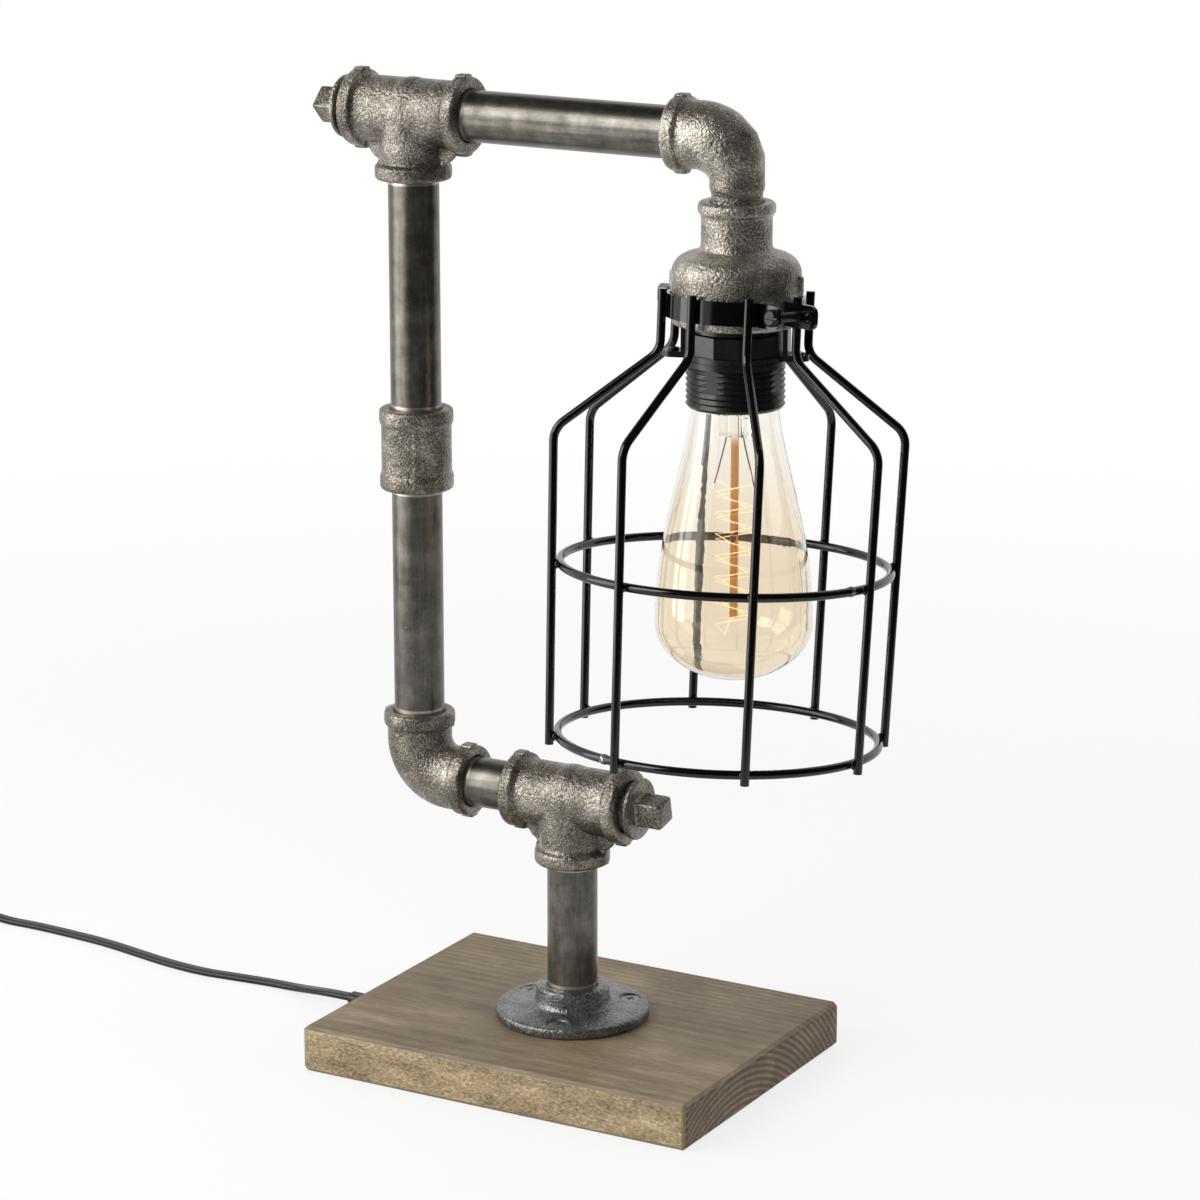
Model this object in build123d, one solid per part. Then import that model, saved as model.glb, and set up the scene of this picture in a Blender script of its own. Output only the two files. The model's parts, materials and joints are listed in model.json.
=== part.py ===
from build123d import *
import os
from math import asin, ceil, cos, hypot, pi, radians, sin, tan

os.makedirs("parts", exist_ok=True)

# Table lamp made of half-inch malleable iron pipe fittings on a pine board, with a black
# wire cage round a pear-shaped filament bulb. Millimetres, +Z up. The origin is the centre
# of the board's underside. X runs along the arm, and the head hangs at +X.

# Board
BOARD_LENGTH = 184.0
BOARD_WIDTH = 139.0
BOARD_THICK = 20.0
BOARD_CHAMFER = 1.8
CORD_HOLE_D = 13.0
POCKET_LENGTH = 74.0
POCKET_WIDTH = 50.0
POCKET_X = -20.0
WELL_D = 26.0
WELL_CEILING = 13.0
GROOVE_WIDTH = 10.0
GROOVE_CEILING = 8.6
COVER_LEDGE = 9.0
COVER_THICK = 2.0
COVER_CORNER_R = 5.0
COVER_SCREW_TOP = 10.0
CLAMP_SCREW_TOP = 14.0

# Where the parts of the frame stand
LOWER_RUN_Z = 116.4
ARM_Z = 400.2
POST_X = -75.0
DROP_X = 75.6
COUPLING_MID_Z = 258.6
CAGE_LEAN = 4.2

# Half-inch pipe and its thread
PIPE_OD = 21.3
PIPE_WALL = 2.6
THREAD_ENGAGE = 13.2
THREAD_GAP = 0.05
THREAD_PITCH = 1.814
THREAD_HEIGHT = 0.7

# Malleable iron fittings
FACE_REACH = 28.0
MALE_REACH = 37.0
MALE_BORE_D = 15.0
MALE_ENGAGE = 12.0
NARROW_FROM = 30.0
SHANK_SHOULDER = 0.4
SHANK_LENGTH = 4.6
BODY_OD = 27.5
ELBOW_BEAD_OD = 30.4
TEE_BEAD_OD = 32.0
BEAD_WIDTH = 7.0
BEAD_SLOPE = 1.2
BEND_RADIUS = 16.0
PASSAGE_D = 17.0
MOUTH_CHAMFER = 0.8
LUG_WIDTH = 5.0
LUG_HEIGHT = 0.9
WEB_THICK = 3.0
CENTRE_SWELL = 0.5

# Floor flange and its screws
FLANGE_OD = 65.5
FLANGE_EDGE_T = 4.5
FLANGE_HEIGHT = 14.0
HUB_OD = 30.4
FLANGE_HOLES = 3
FLANGE_PCD = 51.0
FLANGE_HOLE_D = 6.5
FLANGE_FIRST_HOLE = -75.0
SCREW_D = 4.5
SCREW_HEAD_D = 9.6
SCREW_LENGTH = 14.0
SCREW_SUNK = 1.2

# Square-headed plugs
PLUG_COLLAR_OD = 26.4
PLUG_COLLAR_T = 2.5
PLUG_STANDOFF = 2.6
PLUG_SQUARE = 11.0
PLUG_HEAD = 12.0
PLUG_THREAD = 11.0
LOWER_PLUG_TURN = 12.0
UPPER_PLUG_TURN = 45.0

# Coupling
COUPLING_LENGTH = 34.6
COUPLING_OD = 29.6
COUPLING_BEAD_OD = 31.2
SEAM_WIDTH = 1.2
SEAM_HEIGHT = 0.35
SEAM_ANGLE = -60.0

# Bell reducer
BELL_LENGTH = 48.8
BELL_OD = 52.0
BELL_WALL = 3.2
BELL_NECK_OD = 28.5
BELL_BEAD_OD = 31.2
BELL_BEAD_WIDTH = 5.4
BELL_NECK_FOOT = 19.3
BELL_SHOULDER = 23.0
BELL_SHOULDER_R = 8.0
BELL_THREAD_DEPTH = 20.0
BELL_LEDGE_T = 3.2
BELL_RIB_ANGLE = 12.0
BELL_RIB_WIDTH = 4.0
BELL_RIB_HEIGHT = 1.6

# Clamp of two half straps round the bell
STRAP_THICK = 1.5
STRAP_HEIGHT = 9.5
STRAP_RISE = 1.8
STRAP_GAP = 0.1
RIB_GAP = 0.9
EAR_ANGLE = -20.0
SHORT_EAR_OFFSET = 11.0
LONG_EAR_OFFSET = 1.6
SHORT_EAR_REACH = 38.0
LONG_EAR_REACH = 44.0
EAR_ROUND = 3.2
EAR_SCREW_REACH = 34.9
EAR_SPARE_REACH = 40.2
STRAP_SCREW_D = 4.0
STRAP_HEAD_D = 7.0
STRAP_HEAD_T = 2.4
STRAP_NUT_AF = 7.0
STRAP_NUT_T = 3.2
SCREW_GAP = 0.1

# Wire cage
WIRES = 8
WIRE_D = 3.6
FIRST_WIRE_ANGLE = -53.35
CAGE_SHOULDER_R = 71.4
CAGE_FOOT_R = 68.8
CAGE_NECK_Z = 314.6
CAGE_SHOULDER_Z = 282.6
CAGE_FOOT_Z = 153.6
MIDDLE_RING_Z = 227.8
BOTTOM_RING_Z = 157.0
WELD_GAP = 0.02
WIRE_RISE = 1.8
NECK_BEND_R = 9.0
SHOULDER_BEND_R = 10.0

# Lampholder
NIPPLE_D = 10.0
NIPPLE_BORE_D = 7.2
NIPPLE_NUT_AF = 14.0
NIPPLE_NUT_T = 4.0
LEDGE_WASHER_T = 1.5
CAP_BOSS_OD = 23.0
CAP_COLLAR_AF = 37.0
CAP_COLLAR_H = 9.0
CAP_WALL = 2.2
CAP_FACETS = 12
CAP_BOSS_T = 3.0
CAP_DOME = 8.0
CAP_BOTTOM_Z = 314.5
BRACKET_T = 2.4
BRACKET_TIP = 29.7
BRACKET_ANGLE = 18.0
BRACKET_WIDTH = 9.0
BRACKET_TAB_T = 2.0
BRACKET_TAB_OUT = 21.6
BRACKET_TAB_RISE = 6.0
HOLDER_OD = 40.0
HOLDER_THREAD_H = 0.9
HOLDER_PITCH = 2.5
HOLDER_BORE_D = 36.2
HOLDER_FLAT_ANGLE = -2.0
HOLDER_NECK_WALL = 1.4
HOLDER_PLAIN_TURNS = 3
HOLDER_BOTTOM_Z = 292.7
HOLDER_SHOULDER = 2.4
INSERT_D = 31.0
INSERT_T = 14.0
INSERT_GAP = 0.15
SHELL_WALL = 0.5
SHELL_BOTTOM_Z = 297.0
TERMINAL_SPACING = 15.0
TERMINAL_D = 3.0

# Bulb with a screw cap of 27 mm and a pear-shaped glass of 64 mm
BULB_TOP_Z = 323.0
BULB_BOTTOM_Z = 180.0
BULB_D = 64.0
BULB_WIDEST_Z = 203.0
BULB_WALL = 0.8
BULB_NECK_R = 17.55
BULB_NECK_Z = 292.0
THROAT_GAP = 0.5
THROAT_LENGTH = 6.0
CAP_SCREW_D = 26.4
CAP_SCREW_LENGTH = 21.0
CAP_PITCH = 3.62
CAP_THREAD_H = 0.8
CAP_METAL_T = 0.4
TIP_D = 9.0
TIP_T = 1.5
INSULATOR_T = 3.5
SHELL_GAP = 0.25
CONTACT_GAP = 0.3
STEM_PINCH_Z = 280.0
STEM_ROD_D = 3.3
STEM_ROD_END_Z = 205.0
FILAMENT_TOP_Z = 262.0
FILAMENT_BOTTOM_Z = 200.0
FILAMENT_TURNS = 8
FILAMENT_R = 7.2
FILAMENT_D = 0.5
LEAD_D = 0.7
LEAD_OUT = 0.65
LEAD_BEND_R = 2.0

# Flat twin flex, and the free cord that leaves the board's -X end
FLEX_WIDTH = 5.4
FLEX_THICK = 2.8
FLEX_SLACK = 0.2
FLEX_FIT = 0.1
INNER_FLEX_D = 4.4
INNER_BEND_R = 14.0
ENTRY_BEND_R = 11.0
FLEX_SPLIT = 20.0
FLEX_SPLIT_GAP = 0.4
FLEX_END_X = -30.0
CORD_EXIT_Y = 0.0
RELIEF_OUT = 20.0
RELIEF_IN = 6.0
RELIEF_WIDTH = 9.4
RELIEF_TIP_WIDTH = 7.0
RELIEF_TIP_HEIGHT = 4.4
CLAMP_X = -38.0
CLAMP_LENGTH = 26.0
CLAMP_WIDTH = 8.0
CLAMP_BAR_T = 1.4
CLAMP_SCREW_D = 3.0
CLAMP_SCREW_SPACING = 17.0
SWITCH_X = -352.0
SWITCH_Y = 17.6
SWITCH_LENGTH = 62.0
SWITCH_WIDTH = 26.0
SWITCH_LOWER_H = 6.0
SWITCH_UPPER_H = 8.0
SWITCH_WALL = 2.0
SWITCH_CORNER_R = 9.0
ROCKER_LENGTH = 15.0
ROCKER_WIDTH = 10.0
ROCKER_TILT = 8.0
ROCKER_PIN_D = 3.0
ROCKER_GAP = 0.3
ROCKER_RISE = 1.4
ROCKER_PIVOT_Z = 9.0
PIN_GAP = 0.1
PLUG_LENGTH = 34.0
PLUG_WIDTH = 35.3
PLUG_TAIL_WIDTH = 12.0
PLUG_THICK = 13.7
PLUG_STANDOFF_X = 11.0
PIN_D = 4.0
PIN_LENGTH = 19.0
PIN_SPACING = 18.6
PIN_SEAT = 8.0

# The cord's put-away length: a coil of two layers, the flex on edge
COIL_R = 35.0
COIL_TURN_GAP = 0.9
COIL_HALF_TURNS = 7
COIL_LAYER_GAP = 0.5
COIL_CENTRE_X = -455.0
TIE_THICK = 0.6
TIE_WIDTH = 4.0
TIE_GAP = 0.5

# Sizes that follow from the ones above
PIPE_R = PIPE_OD / 2
BODY_R = BODY_OD / 2
THREAD_R = PIPE_R + THREAD_GAP
THREAD_DEPTH = THREAD_ENGAGE + 0.6
FLANGE_TOP_Z = BOARD_THICK + FLANGE_HEIGHT
BELL_TOP_Z = ARM_Z - MALE_REACH + MALE_ENGAGE
BELL_BOTTOM_Z = BELL_TOP_Z - BELL_LENGTH
LEDGE_Z = BELL_TOP_Z - BELL_THREAD_DEPTH
ROOF_Z = LEDGE_Z - BELL_LEDGE_T
STRAP_BOTTOM_Z = BELL_BOTTOM_Z + STRAP_RISE
CLAMP_Z = STRAP_BOTTOM_Z + STRAP_HEIGHT / 2
LEAN_REACH = STRAP_HEIGHT / 2 * sin(radians(CAGE_LEAN))
STRAP_IN_R = (BELL_OD / 2 + STRAP_GAP + LEAN_REACH) / cos(radians(CAGE_LEAN))
STRAP_OUT_R = STRAP_IN_R + STRAP_THICK
NECK_WIRE_R = STRAP_OUT_R + WIRE_D / 2
WIRE_TOP_Z = STRAP_BOTTOM_Z + STRAP_HEIGHT + WIRE_RISE
FLEX_Z = GROOVE_CEILING - FLEX_SLACK - FLEX_THICK / 2
INSERT_BOTTOM_Z = BULB_TOP_Z + CONTACT_GAP + 1.2
FLOOR_FLEX_Z = FLEX_THICK / 2 + 0.2

# How a solid that is modelled along +Z is turned to lie along another direction
ALONG = {"+X": Rot(0, 90, 0), "-X": Rot(0, -90, 0), "+Z": Rot(0, 0, 0), "-Z": Rot(180, 0, 0)}


def spin(points, rounds=None):
    """Turn a closed outline of (radius, height) points about Z. rounds maps a point's index
    to the radius of its rounded corner."""
    outline = Plane.XZ * make_face(Polyline(*points, close=True))
    for index, radius in (rounds or {}).items():
        r, z = points[index]
        corner = outline.vertices().sort_by_distance(Vector(r, 0, z))[0]
        outline = fillet(corner, radius)
    return revolve(outline, Axis.Z)


def tube(outer_r, inner_r, z0, z1):
    """Plain tube about Z from z0 to z1."""
    return spin([(inner_r, z0), (outer_r, z0), (outer_r, z1), (inner_r, z1)])


def rod(radius, z0, z1):
    """Plain round bar about Z from z0 to z1."""
    return Pos(0, 0, (z0 + z1) / 2) * Cylinder(radius, z1 - z0)


def prism(across_flats, sides, z0, z1):
    """Bar with a regular outline, flat to flat across_flats, from z0 to z1."""
    outline = RegularPolygon(across_flats / 2, sides, major_radius=False)
    return Pos(0, 0, z0) * extrude(outline, z1 - z0)


def thread_points(crest_r, height, pitch, z0, z1):
    """Outline of a thread's flank line from z0 up to z1, as even ridges."""
    turns = ceil((z1 - z0) / pitch)
    step = (z1 - z0) / turns
    points = []
    for turn in range(turns):
        z = z0 + turn * step
        points += [(crest_r - height, z + 0.12 * step), (crest_r, z + 0.5 * step)]
    return [(crest_r - height, z0)] + points[1:] + [(crest_r - height, z1)]


def solids_of(shapes):
    """One compound that keeps its solids apart."""
    return Compound([solid for shape in shapes for solid in shape.solids()])


# Pipes and fittings

def pipe_along_z(z0, z1):
    """Length of pipe about Z that reaches a thread's length into both fittings."""
    low, high = z0 - THREAD_ENGAGE, z1 + THREAD_ENGAGE
    return tube(PIPE_R, PIPE_R - PIPE_WALL, low, high)


def pipe_along_x(x0, x1, z):
    """The same, along X at height z."""
    return Pos(0, 0, z) * ALONG["+X"] * pipe_along_z(x0, x1)


def outlet_body(bead_od, start):
    """Outside of a female outlet along +Z, from its bend or centre to its beaded face."""
    bead_r = bead_od / 2
    bead_z = FACE_REACH - BEAD_WIDTH
    points = [(0, start), (BODY_R, start), (BODY_R, bead_z), (bead_r, bead_z + BEAD_SLOPE),
              (bead_r, FACE_REACH), (0, FACE_REACH)]
    body = spin(points, {2: 0.8, 3: 0.8, 4: 1.5})
    lug_length = BEAD_WIDTH - 1.6
    lug = Box(2 * (bead_r + LUG_HEIGHT), LUG_WIDTH, lug_length)
    return body + Pos(0, 0, FACE_REACH - BEAD_WIDTH / 2) * lug


def outlet_bore(start):
    """Inside of a female outlet: thread, a chamfered mouth, and the passage in from start."""
    shelf = FACE_REACH - THREAD_DEPTH
    mouth_r = THREAD_R + MOUTH_CHAMFER
    bore = spin([(0, shelf), (THREAD_R, shelf), (THREAD_R, FACE_REACH - MOUTH_CHAMFER),
                 (mouth_r, FACE_REACH), (mouth_r, FACE_REACH + 1), (0, FACE_REACH + 1)])
    return bore + rod(PASSAGE_D / 2, start, shelf + 1) if start < shelf else bore


def quarter_bend(radius):
    """Quarter ring from the +X outlet to the +Z outlet of an elbow about its corner."""
    pivot = Axis((BEND_RADIUS, 0, BEND_RADIUS), (0, 1, 0))
    disc = Plane(origin=(BEND_RADIUS, 0, 0), z_dir=(1, 0, 0)) * Circle(radius)
    return revolve(disc, pivot, 90)


def crotch_web(side):
    """Thin web in the corner between a tee's run and its branch, on the +X or -X side."""
    near = BODY_R - 1.0
    far = FACE_REACH - BEAD_WIDTH + 0.5
    curve = RadiusArc((far, -BODY_R), (BODY_R, -far), far - BODY_R + 1.0)
    rim = Polyline((BODY_R, -far), (near, -far), (near, -near), (far, -near), (far, -BODY_R))
    web = extrude(Plane.XZ * make_face([curve, rim]), WEB_THICK / 2, both=True)
    return web if side > 0 else mirror(web, Plane.YZ)


def tee():
    """Equal tee about its centre, the run along X and the branch down."""
    outlets = ("+X", "-X", "-Z")
    body = Part() + Sphere(BODY_R + CENTRE_SWELL)
    for outlet in outlets:
        body += ALONG[outlet] * outlet_body(TEE_BEAD_OD, 0)
    for side in (1, -1):
        body += crotch_web(side)
    for outlet in outlets:
        body -= ALONG[outlet] * outlet_bore(0)
    return body


def elbow():
    """Female elbow about its corner, with outlets along +X and +Z."""
    body = quarter_bend(BODY_R)
    for outlet in ("+X", "+Z"):
        body += ALONG[outlet] * outlet_body(ELBOW_BEAD_OD, BEND_RADIUS)
    body -= quarter_bend(PASSAGE_D / 2)
    for outlet in ("+X", "+Z"):
        body -= ALONG[outlet] * outlet_bore(BEND_RADIUS)
    return body


def narrowing_bend(end_r):
    """Quarter bend from the +X outlet to the +Z outlet that narrows to end_r on its way."""
    pivot = Axis((BEND_RADIUS, 0, BEND_RADIUS), (0, 1, 0))
    disc = Plane(origin=(BEND_RADIUS, 0, 0), z_dir=(1, 0, 0))
    turns = [NARROW_FROM + (90 - NARROW_FROM) * n / 3 for n in range(4)]
    radii = [BODY_R - (BODY_R - end_r) * share for share in (0, 0.12, 0.5, 1)]
    rings = [(disc * Circle(radius)).rotate(pivot, turn) for turn, radius in zip(turns, radii)]
    return revolve(disc * Circle(BODY_R), pivot, NARROW_FROM) + loft(rings, ruled=True)


def street_elbow():
    """Elbow with a female outlet along -X and a male thread down."""
    shank = PIPE_R + SHANK_SHOULDER
    neck = BEND_RADIUS + SHANK_LENGTH
    male = spin([(0, BEND_RADIUS), (shank, BEND_RADIUS), (shank, neck)]
                + thread_points(PIPE_R, THREAD_HEIGHT, THREAD_PITCH, neck + 0.2, MALE_REACH)
                + [(0, MALE_REACH)])
    body = narrowing_bend(shank) + male
    body += ALONG["+X"] * outlet_body(ELBOW_BEAD_OD, BEND_RADIUS)
    body -= quarter_bend(MALE_BORE_D / 2)
    body -= rod(MALE_BORE_D / 2, BEND_RADIUS, MALE_REACH + 1)
    body -= ALONG["+X"] * outlet_bore(BEND_RADIUS)
    return Rot(0, 180, 0) * body


def plug(turn):
    """Square-headed plug along +Z, from the face of the outlet that it closes."""
    collar_r = PLUG_COLLAR_OD / 2
    top = PLUG_STANDOFF + PLUG_COLLAR_T
    body = spin([(0, -PLUG_THREAD), (PIPE_R, -PLUG_THREAD), (PIPE_R, PLUG_STANDOFF),
                 (collar_r, PLUG_STANDOFF), (collar_r, top), (0, top)], {3: 0.8, 4: 0.8})
    head = Pos(0, 0, top + PLUG_HEAD / 2) * Box(PLUG_SQUARE, PLUG_SQUARE, PLUG_HEAD)
    head = chamfer(head.faces().sort_by(Axis.Z)[-1].edges(), 0.8)
    return body + Rot(0, 0, turn) * head


def coupling():
    """Straight beaded coupling about its middle."""
    half, bead_r, body_r = COUPLING_LENGTH / 2, COUPLING_BEAD_OD / 2, COUPLING_OD / 2
    bead_z = half - BEAD_WIDTH
    body = spin([(0, -half), (bead_r, -half), (bead_r, -bead_z - 1), (body_r, -bead_z),
                 (body_r, bead_z), (bead_r, bead_z + 1), (bead_r, half), (0, half)],
                {1: 1.5, 2: 0.6, 3: 0.6, 4: 0.6, 5: 0.6, 6: 1.5})
    seam = Box(2 * (body_r + SEAM_HEIGHT), SEAM_WIDTH, 2 * bead_z)
    body += Rot(0, 0, SEAM_ANGLE) * seam
    body -= rod(PASSAGE_D / 2, -half - 1, half + 1)
    for side in (1, -1):
        mouth = spin([(0, half - THREAD_DEPTH), (THREAD_R, half - THREAD_DEPTH),
                      (THREAD_R, half - MOUTH_CHAMFER), (THREAD_R + MOUTH_CHAMFER, half),
                      (THREAD_R + MOUTH_CHAMFER, half + 1), (0, half + 1)])
        body -= mouth if side > 0 else Rot(180, 0, 0) * mouth
    return body


# Board, flange and the cord's way under the board

def flange_hole_places():
    """Where the flange's screws stand."""
    spread = 360.0 / FLANGE_HOLES
    angles = [radians(FLANGE_FIRST_HOLE + spread * n) for n in range(FLANGE_HOLES)]
    return [Pos(FLANGE_PCD / 2 * cos(a), FLANGE_PCD / 2 * sin(a), 0) for a in angles]


def cover_screw_places():
    """Where the bottom cover's screws stand, on the ledge round the pocket."""
    across = (POCKET_LENGTH + COVER_LEDGE) / 2
    along = (POCKET_WIDTH + COVER_LEDGE) / 2
    return [Pos(POCKET_X + i * across, CORD_EXIT_Y + j * along, 0) for i in (1, -1) for j in (1, -1)]


def cover_outline(inset):
    """Outline of the cover, or of its recess, about the pocket's centre."""
    length = POCKET_LENGTH + 2 * COVER_LEDGE - 2 * inset
    width = POCKET_WIDTH + 2 * COVER_LEDGE - 2 * inset
    return Pos(POCKET_X, CORD_EXIT_Y) * RectangleRounded(length, width, COVER_CORNER_R)


def base_board():
    """Pine board with a cord hole, a pocket, a cover recess and a groove to its -X end."""
    board = Pos(0, 0, BOARD_THICK / 2) * Box(BOARD_LENGTH, BOARD_WIDTH, BOARD_THICK)
    board = chamfer(board.edges(), BOARD_CHAMFER)
    board -= rod(CORD_HOLE_D / 2, -1, BOARD_THICK + 1)
    pocket = Pos(POCKET_X, CORD_EXIT_Y) * RectangleRounded(POCKET_LENGTH, POCKET_WIDTH, COVER_CORNER_R)
    board -= extrude(pocket, GROOVE_CEILING)
    board -= extrude(cover_outline(0), COVER_THICK + 0.1)
    board -= rod(WELL_D / 2, 0, WELL_CEILING)
    groove_length = BOARD_LENGTH / 2 + POCKET_X
    groove = Box(groove_length, GROOVE_WIDTH, 2 * GROOVE_CEILING)
    board -= Pos(POCKET_X - groove_length / 2, CORD_EXIT_Y, 0) * groove
    pilot = rod(SCREW_D / 2 + THREAD_GAP, screw_tip_z() - 1, BOARD_THICK + 1)
    for place in flange_hole_places():
        board -= place * pilot
    cover_pilot = rod(CLAMP_SCREW_D / 2 + THREAD_GAP, 0, COVER_SCREW_TOP + 1)
    for place in cover_screw_places():
        board -= place * cover_pilot
    for place in clamp_screw_places():
        board -= place * rod(CLAMP_SCREW_D / 2 + THREAD_GAP, 0, CLAMP_SCREW_TOP + 1)
    return board


def clamp_screw_places():
    """Where the cord clamp's two screws stand, one each side of the flex."""
    return [Pos(CLAMP_X, CORD_EXIT_Y + side * CLAMP_SCREW_SPACING / 2, 0) for side in (1, -1)]


def screw_tip_z():
    """Height of the flange screws' tips in the board."""
    return BOARD_THICK + FLANGE_EDGE_T + 1.0 - SCREW_SUNK - SCREW_LENGTH


def countersunk(shank_r, head_r, tip_z, top_z):
    """Countersunk screw about Z, its head up, with a cross recess."""
    cone = head_r - shank_r
    screw = spin([(0, tip_z), (shank_r * 0.4, tip_z), (shank_r, tip_z + 3), (shank_r, top_z - cone),
                  (head_r, top_z), (0, top_z)])
    arm = 1.1 * head_r
    for turn in (0, 90):
        screw -= Pos(0, 0, top_z) * Rot(0, 0, turn) * Box(arm, 0.22 * head_r, 0.5 * cone)
    return screw


def floor_flange():
    """Round floor flange with a hub that takes the riser's thread."""
    rim_r, hub_r, top = FLANGE_OD / 2, HUB_OD / 2, FLANGE_HEIGHT
    foot = FLANGE_EDGE_T + 1.2
    body = spin([(0, 0), (rim_r, 0), (rim_r, FLANGE_EDGE_T), (hub_r + 1.0, foot),
                 (hub_r, top), (0, top)], {1: 1.2, 2: 1.6, 3: 2.5, 4: 1.2})
    body -= rod(PASSAGE_D / 2, -1, top + 1)
    body -= rod(THREAD_R, top - THREAD_DEPTH + 0.6, top + 1)
    sink_r = SCREW_HEAD_D / 2 + 0.5
    hole = rod(FLANGE_HOLE_D / 2, -1, foot + 1)
    face = FLANGE_EDGE_T + 1.0
    sink = spin([(0, face - sink_r), (sink_r, face), (sink_r, face + 3), (0, face + 3)])
    for place in flange_hole_places():
        body -= place * (hole + sink)
    return Pos(0, 0, BOARD_THICK) * body


def flange_screws():
    """Countersunk wood screws that hold the flange to the board."""
    top_z = BOARD_THICK + FLANGE_EDGE_T + 1.0 - SCREW_SUNK
    screw = countersunk(SCREW_D / 2, SCREW_HEAD_D / 2 - SCREW_SUNK + 0.4, screw_tip_z(), top_z)
    return solids_of([place * screw for place in flange_hole_places()])


def bottom_cover():
    """Thin plate that closes the pocket, flush with the board's underside."""
    cover = extrude(cover_outline(0.3), COVER_THICK)
    head_r = CLAMP_SCREW_D
    sink = spin([(0, -1), (head_r + 0.2, -1), (head_r + 0.2, 0.3), (CLAMP_SCREW_D / 2, head_r - 1.0),
                 (CLAMP_SCREW_D / 2 + 0.1, COVER_THICK + 1), (0, COVER_THICK + 1)])
    for place in cover_screw_places():
        cover -= place * sink
    return cover


def cover_screws():
    """Screws of the bottom cover, heads down and just inside its face."""
    screw = countersunk(CLAMP_SCREW_D / 2, CLAMP_SCREW_D - 0.2, -COVER_SCREW_TOP, -0.3)
    return solids_of([place * Rot(180, 0, 0) * screw for place in cover_screw_places()])


def cord_clamp():
    """Bridge that holds the flex up against the pocket's ceiling."""
    low = FLEX_Z - FLEX_THICK / 2 - CLAMP_BAR_T
    height = GROOVE_CEILING - low
    place = Pos(CLAMP_X, CORD_EXIT_Y, low + height / 2)
    block = place * Box(CLAMP_WIDTH, CLAMP_LENGTH, height)
    channel = Box(CLAMP_WIDTH + 2, FLEX_WIDTH + 2 * FLEX_SLACK, height)
    block -= Pos(CLAMP_X, CORD_EXIT_Y, low + CLAMP_BAR_T + height / 2) * channel
    for place in clamp_screw_places():
        block -= place * rod(CLAMP_SCREW_D / 2 + SCREW_GAP, low - 1, GROOVE_CEILING + 1)
    return block


def clamp_screws():
    """The clamp's two round-headed screws, driven up into the board."""
    head_z = FLEX_Z - FLEX_THICK / 2 - CLAMP_BAR_T
    screw = rod(CLAMP_SCREW_D / 2, head_z, CLAMP_SCREW_TOP)
    screw += rod(CLAMP_SCREW_D, COVER_THICK + 0.2, head_z)
    return solids_of([place * screw for place in clamp_screw_places()])


# Bell reducer, clamp and cage, modelled upright about the drop axis

def bell_reducer():
    """Bell-shaped reducer with a hollow skirt and two casting ribs."""
    top, bottom = BELL_TOP_Z, BELL_BOTTOM_Z
    bell_r, neck_r, bead_r = BELL_OD / 2, BELL_NECK_OD / 2, BELL_BEAD_OD / 2
    bead_z = top - BELL_BEAD_WIDTH
    cavity_r = bell_r - BELL_WALL
    outside = [(bell_r, bottom), (bell_r, top - BELL_SHOULDER), (neck_r, top - BELL_NECK_FOOT),
               (neck_r, bead_z), (bead_r, bead_z + BEAD_SLOPE), (bead_r, top)]
    inside = [(THREAD_R + MOUTH_CHAMFER, top), (THREAD_R, top - MOUTH_CHAMFER), (THREAD_R, LEDGE_Z),
              (PASSAGE_D / 2, LEDGE_Z), (PASSAGE_D / 2, ROOF_Z), (CAP_BOSS_OD / 2 + 0.5, ROOF_Z),
              (cavity_r, top - BELL_SHOULDER - BELL_SHOULDER_R), (cavity_r, bottom)]
    body = spin(outside + inside, {0: 1.0, 1: BELL_SHOULDER_R, 2: 3.0, 3: 0.8, 4: 0.8, 5: 1.8})
    rib_top = top - BELL_SHOULDER - BELL_SHOULDER_R + 2.0
    rib_bottom = STRAP_BOTTOM_Z + STRAP_HEIGHT + RIB_GAP
    for turn in (BELL_RIB_ANGLE, BELL_RIB_ANGLE + 180):
        rib = Box(2 * BELL_RIB_HEIGHT, BELL_RIB_WIDTH, rib_top - rib_bottom)
        rib = fillet(rib.edges().filter_by(Axis.Z).group_by(Axis.X)[-1], 1.2)
        body += Rot(0, 0, turn) * Pos(bell_r, 0, (rib_top + rib_bottom) / 2) * rib
    return body


def ear(offset, reach, holes):
    """Flat ear that stands out from the strap, parallel to the split line and offset from it.
    The ear lies along +X of the split line, and offset is its near face's distance in Y."""
    start = (STRAP_IN_R ** 2 - offset ** 2) ** 0.5
    length = reach - start
    plate = Rectangle(length, STRAP_HEIGHT)
    ends = plate.vertices().group_by(Axis.X)[-1]
    plate = fillet(ends, EAR_ROUND)
    for hole in holes:
        plate -= Pos(hole - start - length / 2, 0) * Circle(STRAP_SCREW_D / 2 + SCREW_GAP)
    plane = Plane(origin=(start + length / 2, offset, CLAMP_Z),
                  x_dir=(1, 0, 0), z_dir=(0, 1, 0))
    side = STRAP_THICK if offset > 0 else -STRAP_THICK
    return extrude(plane * plate, side)


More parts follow.
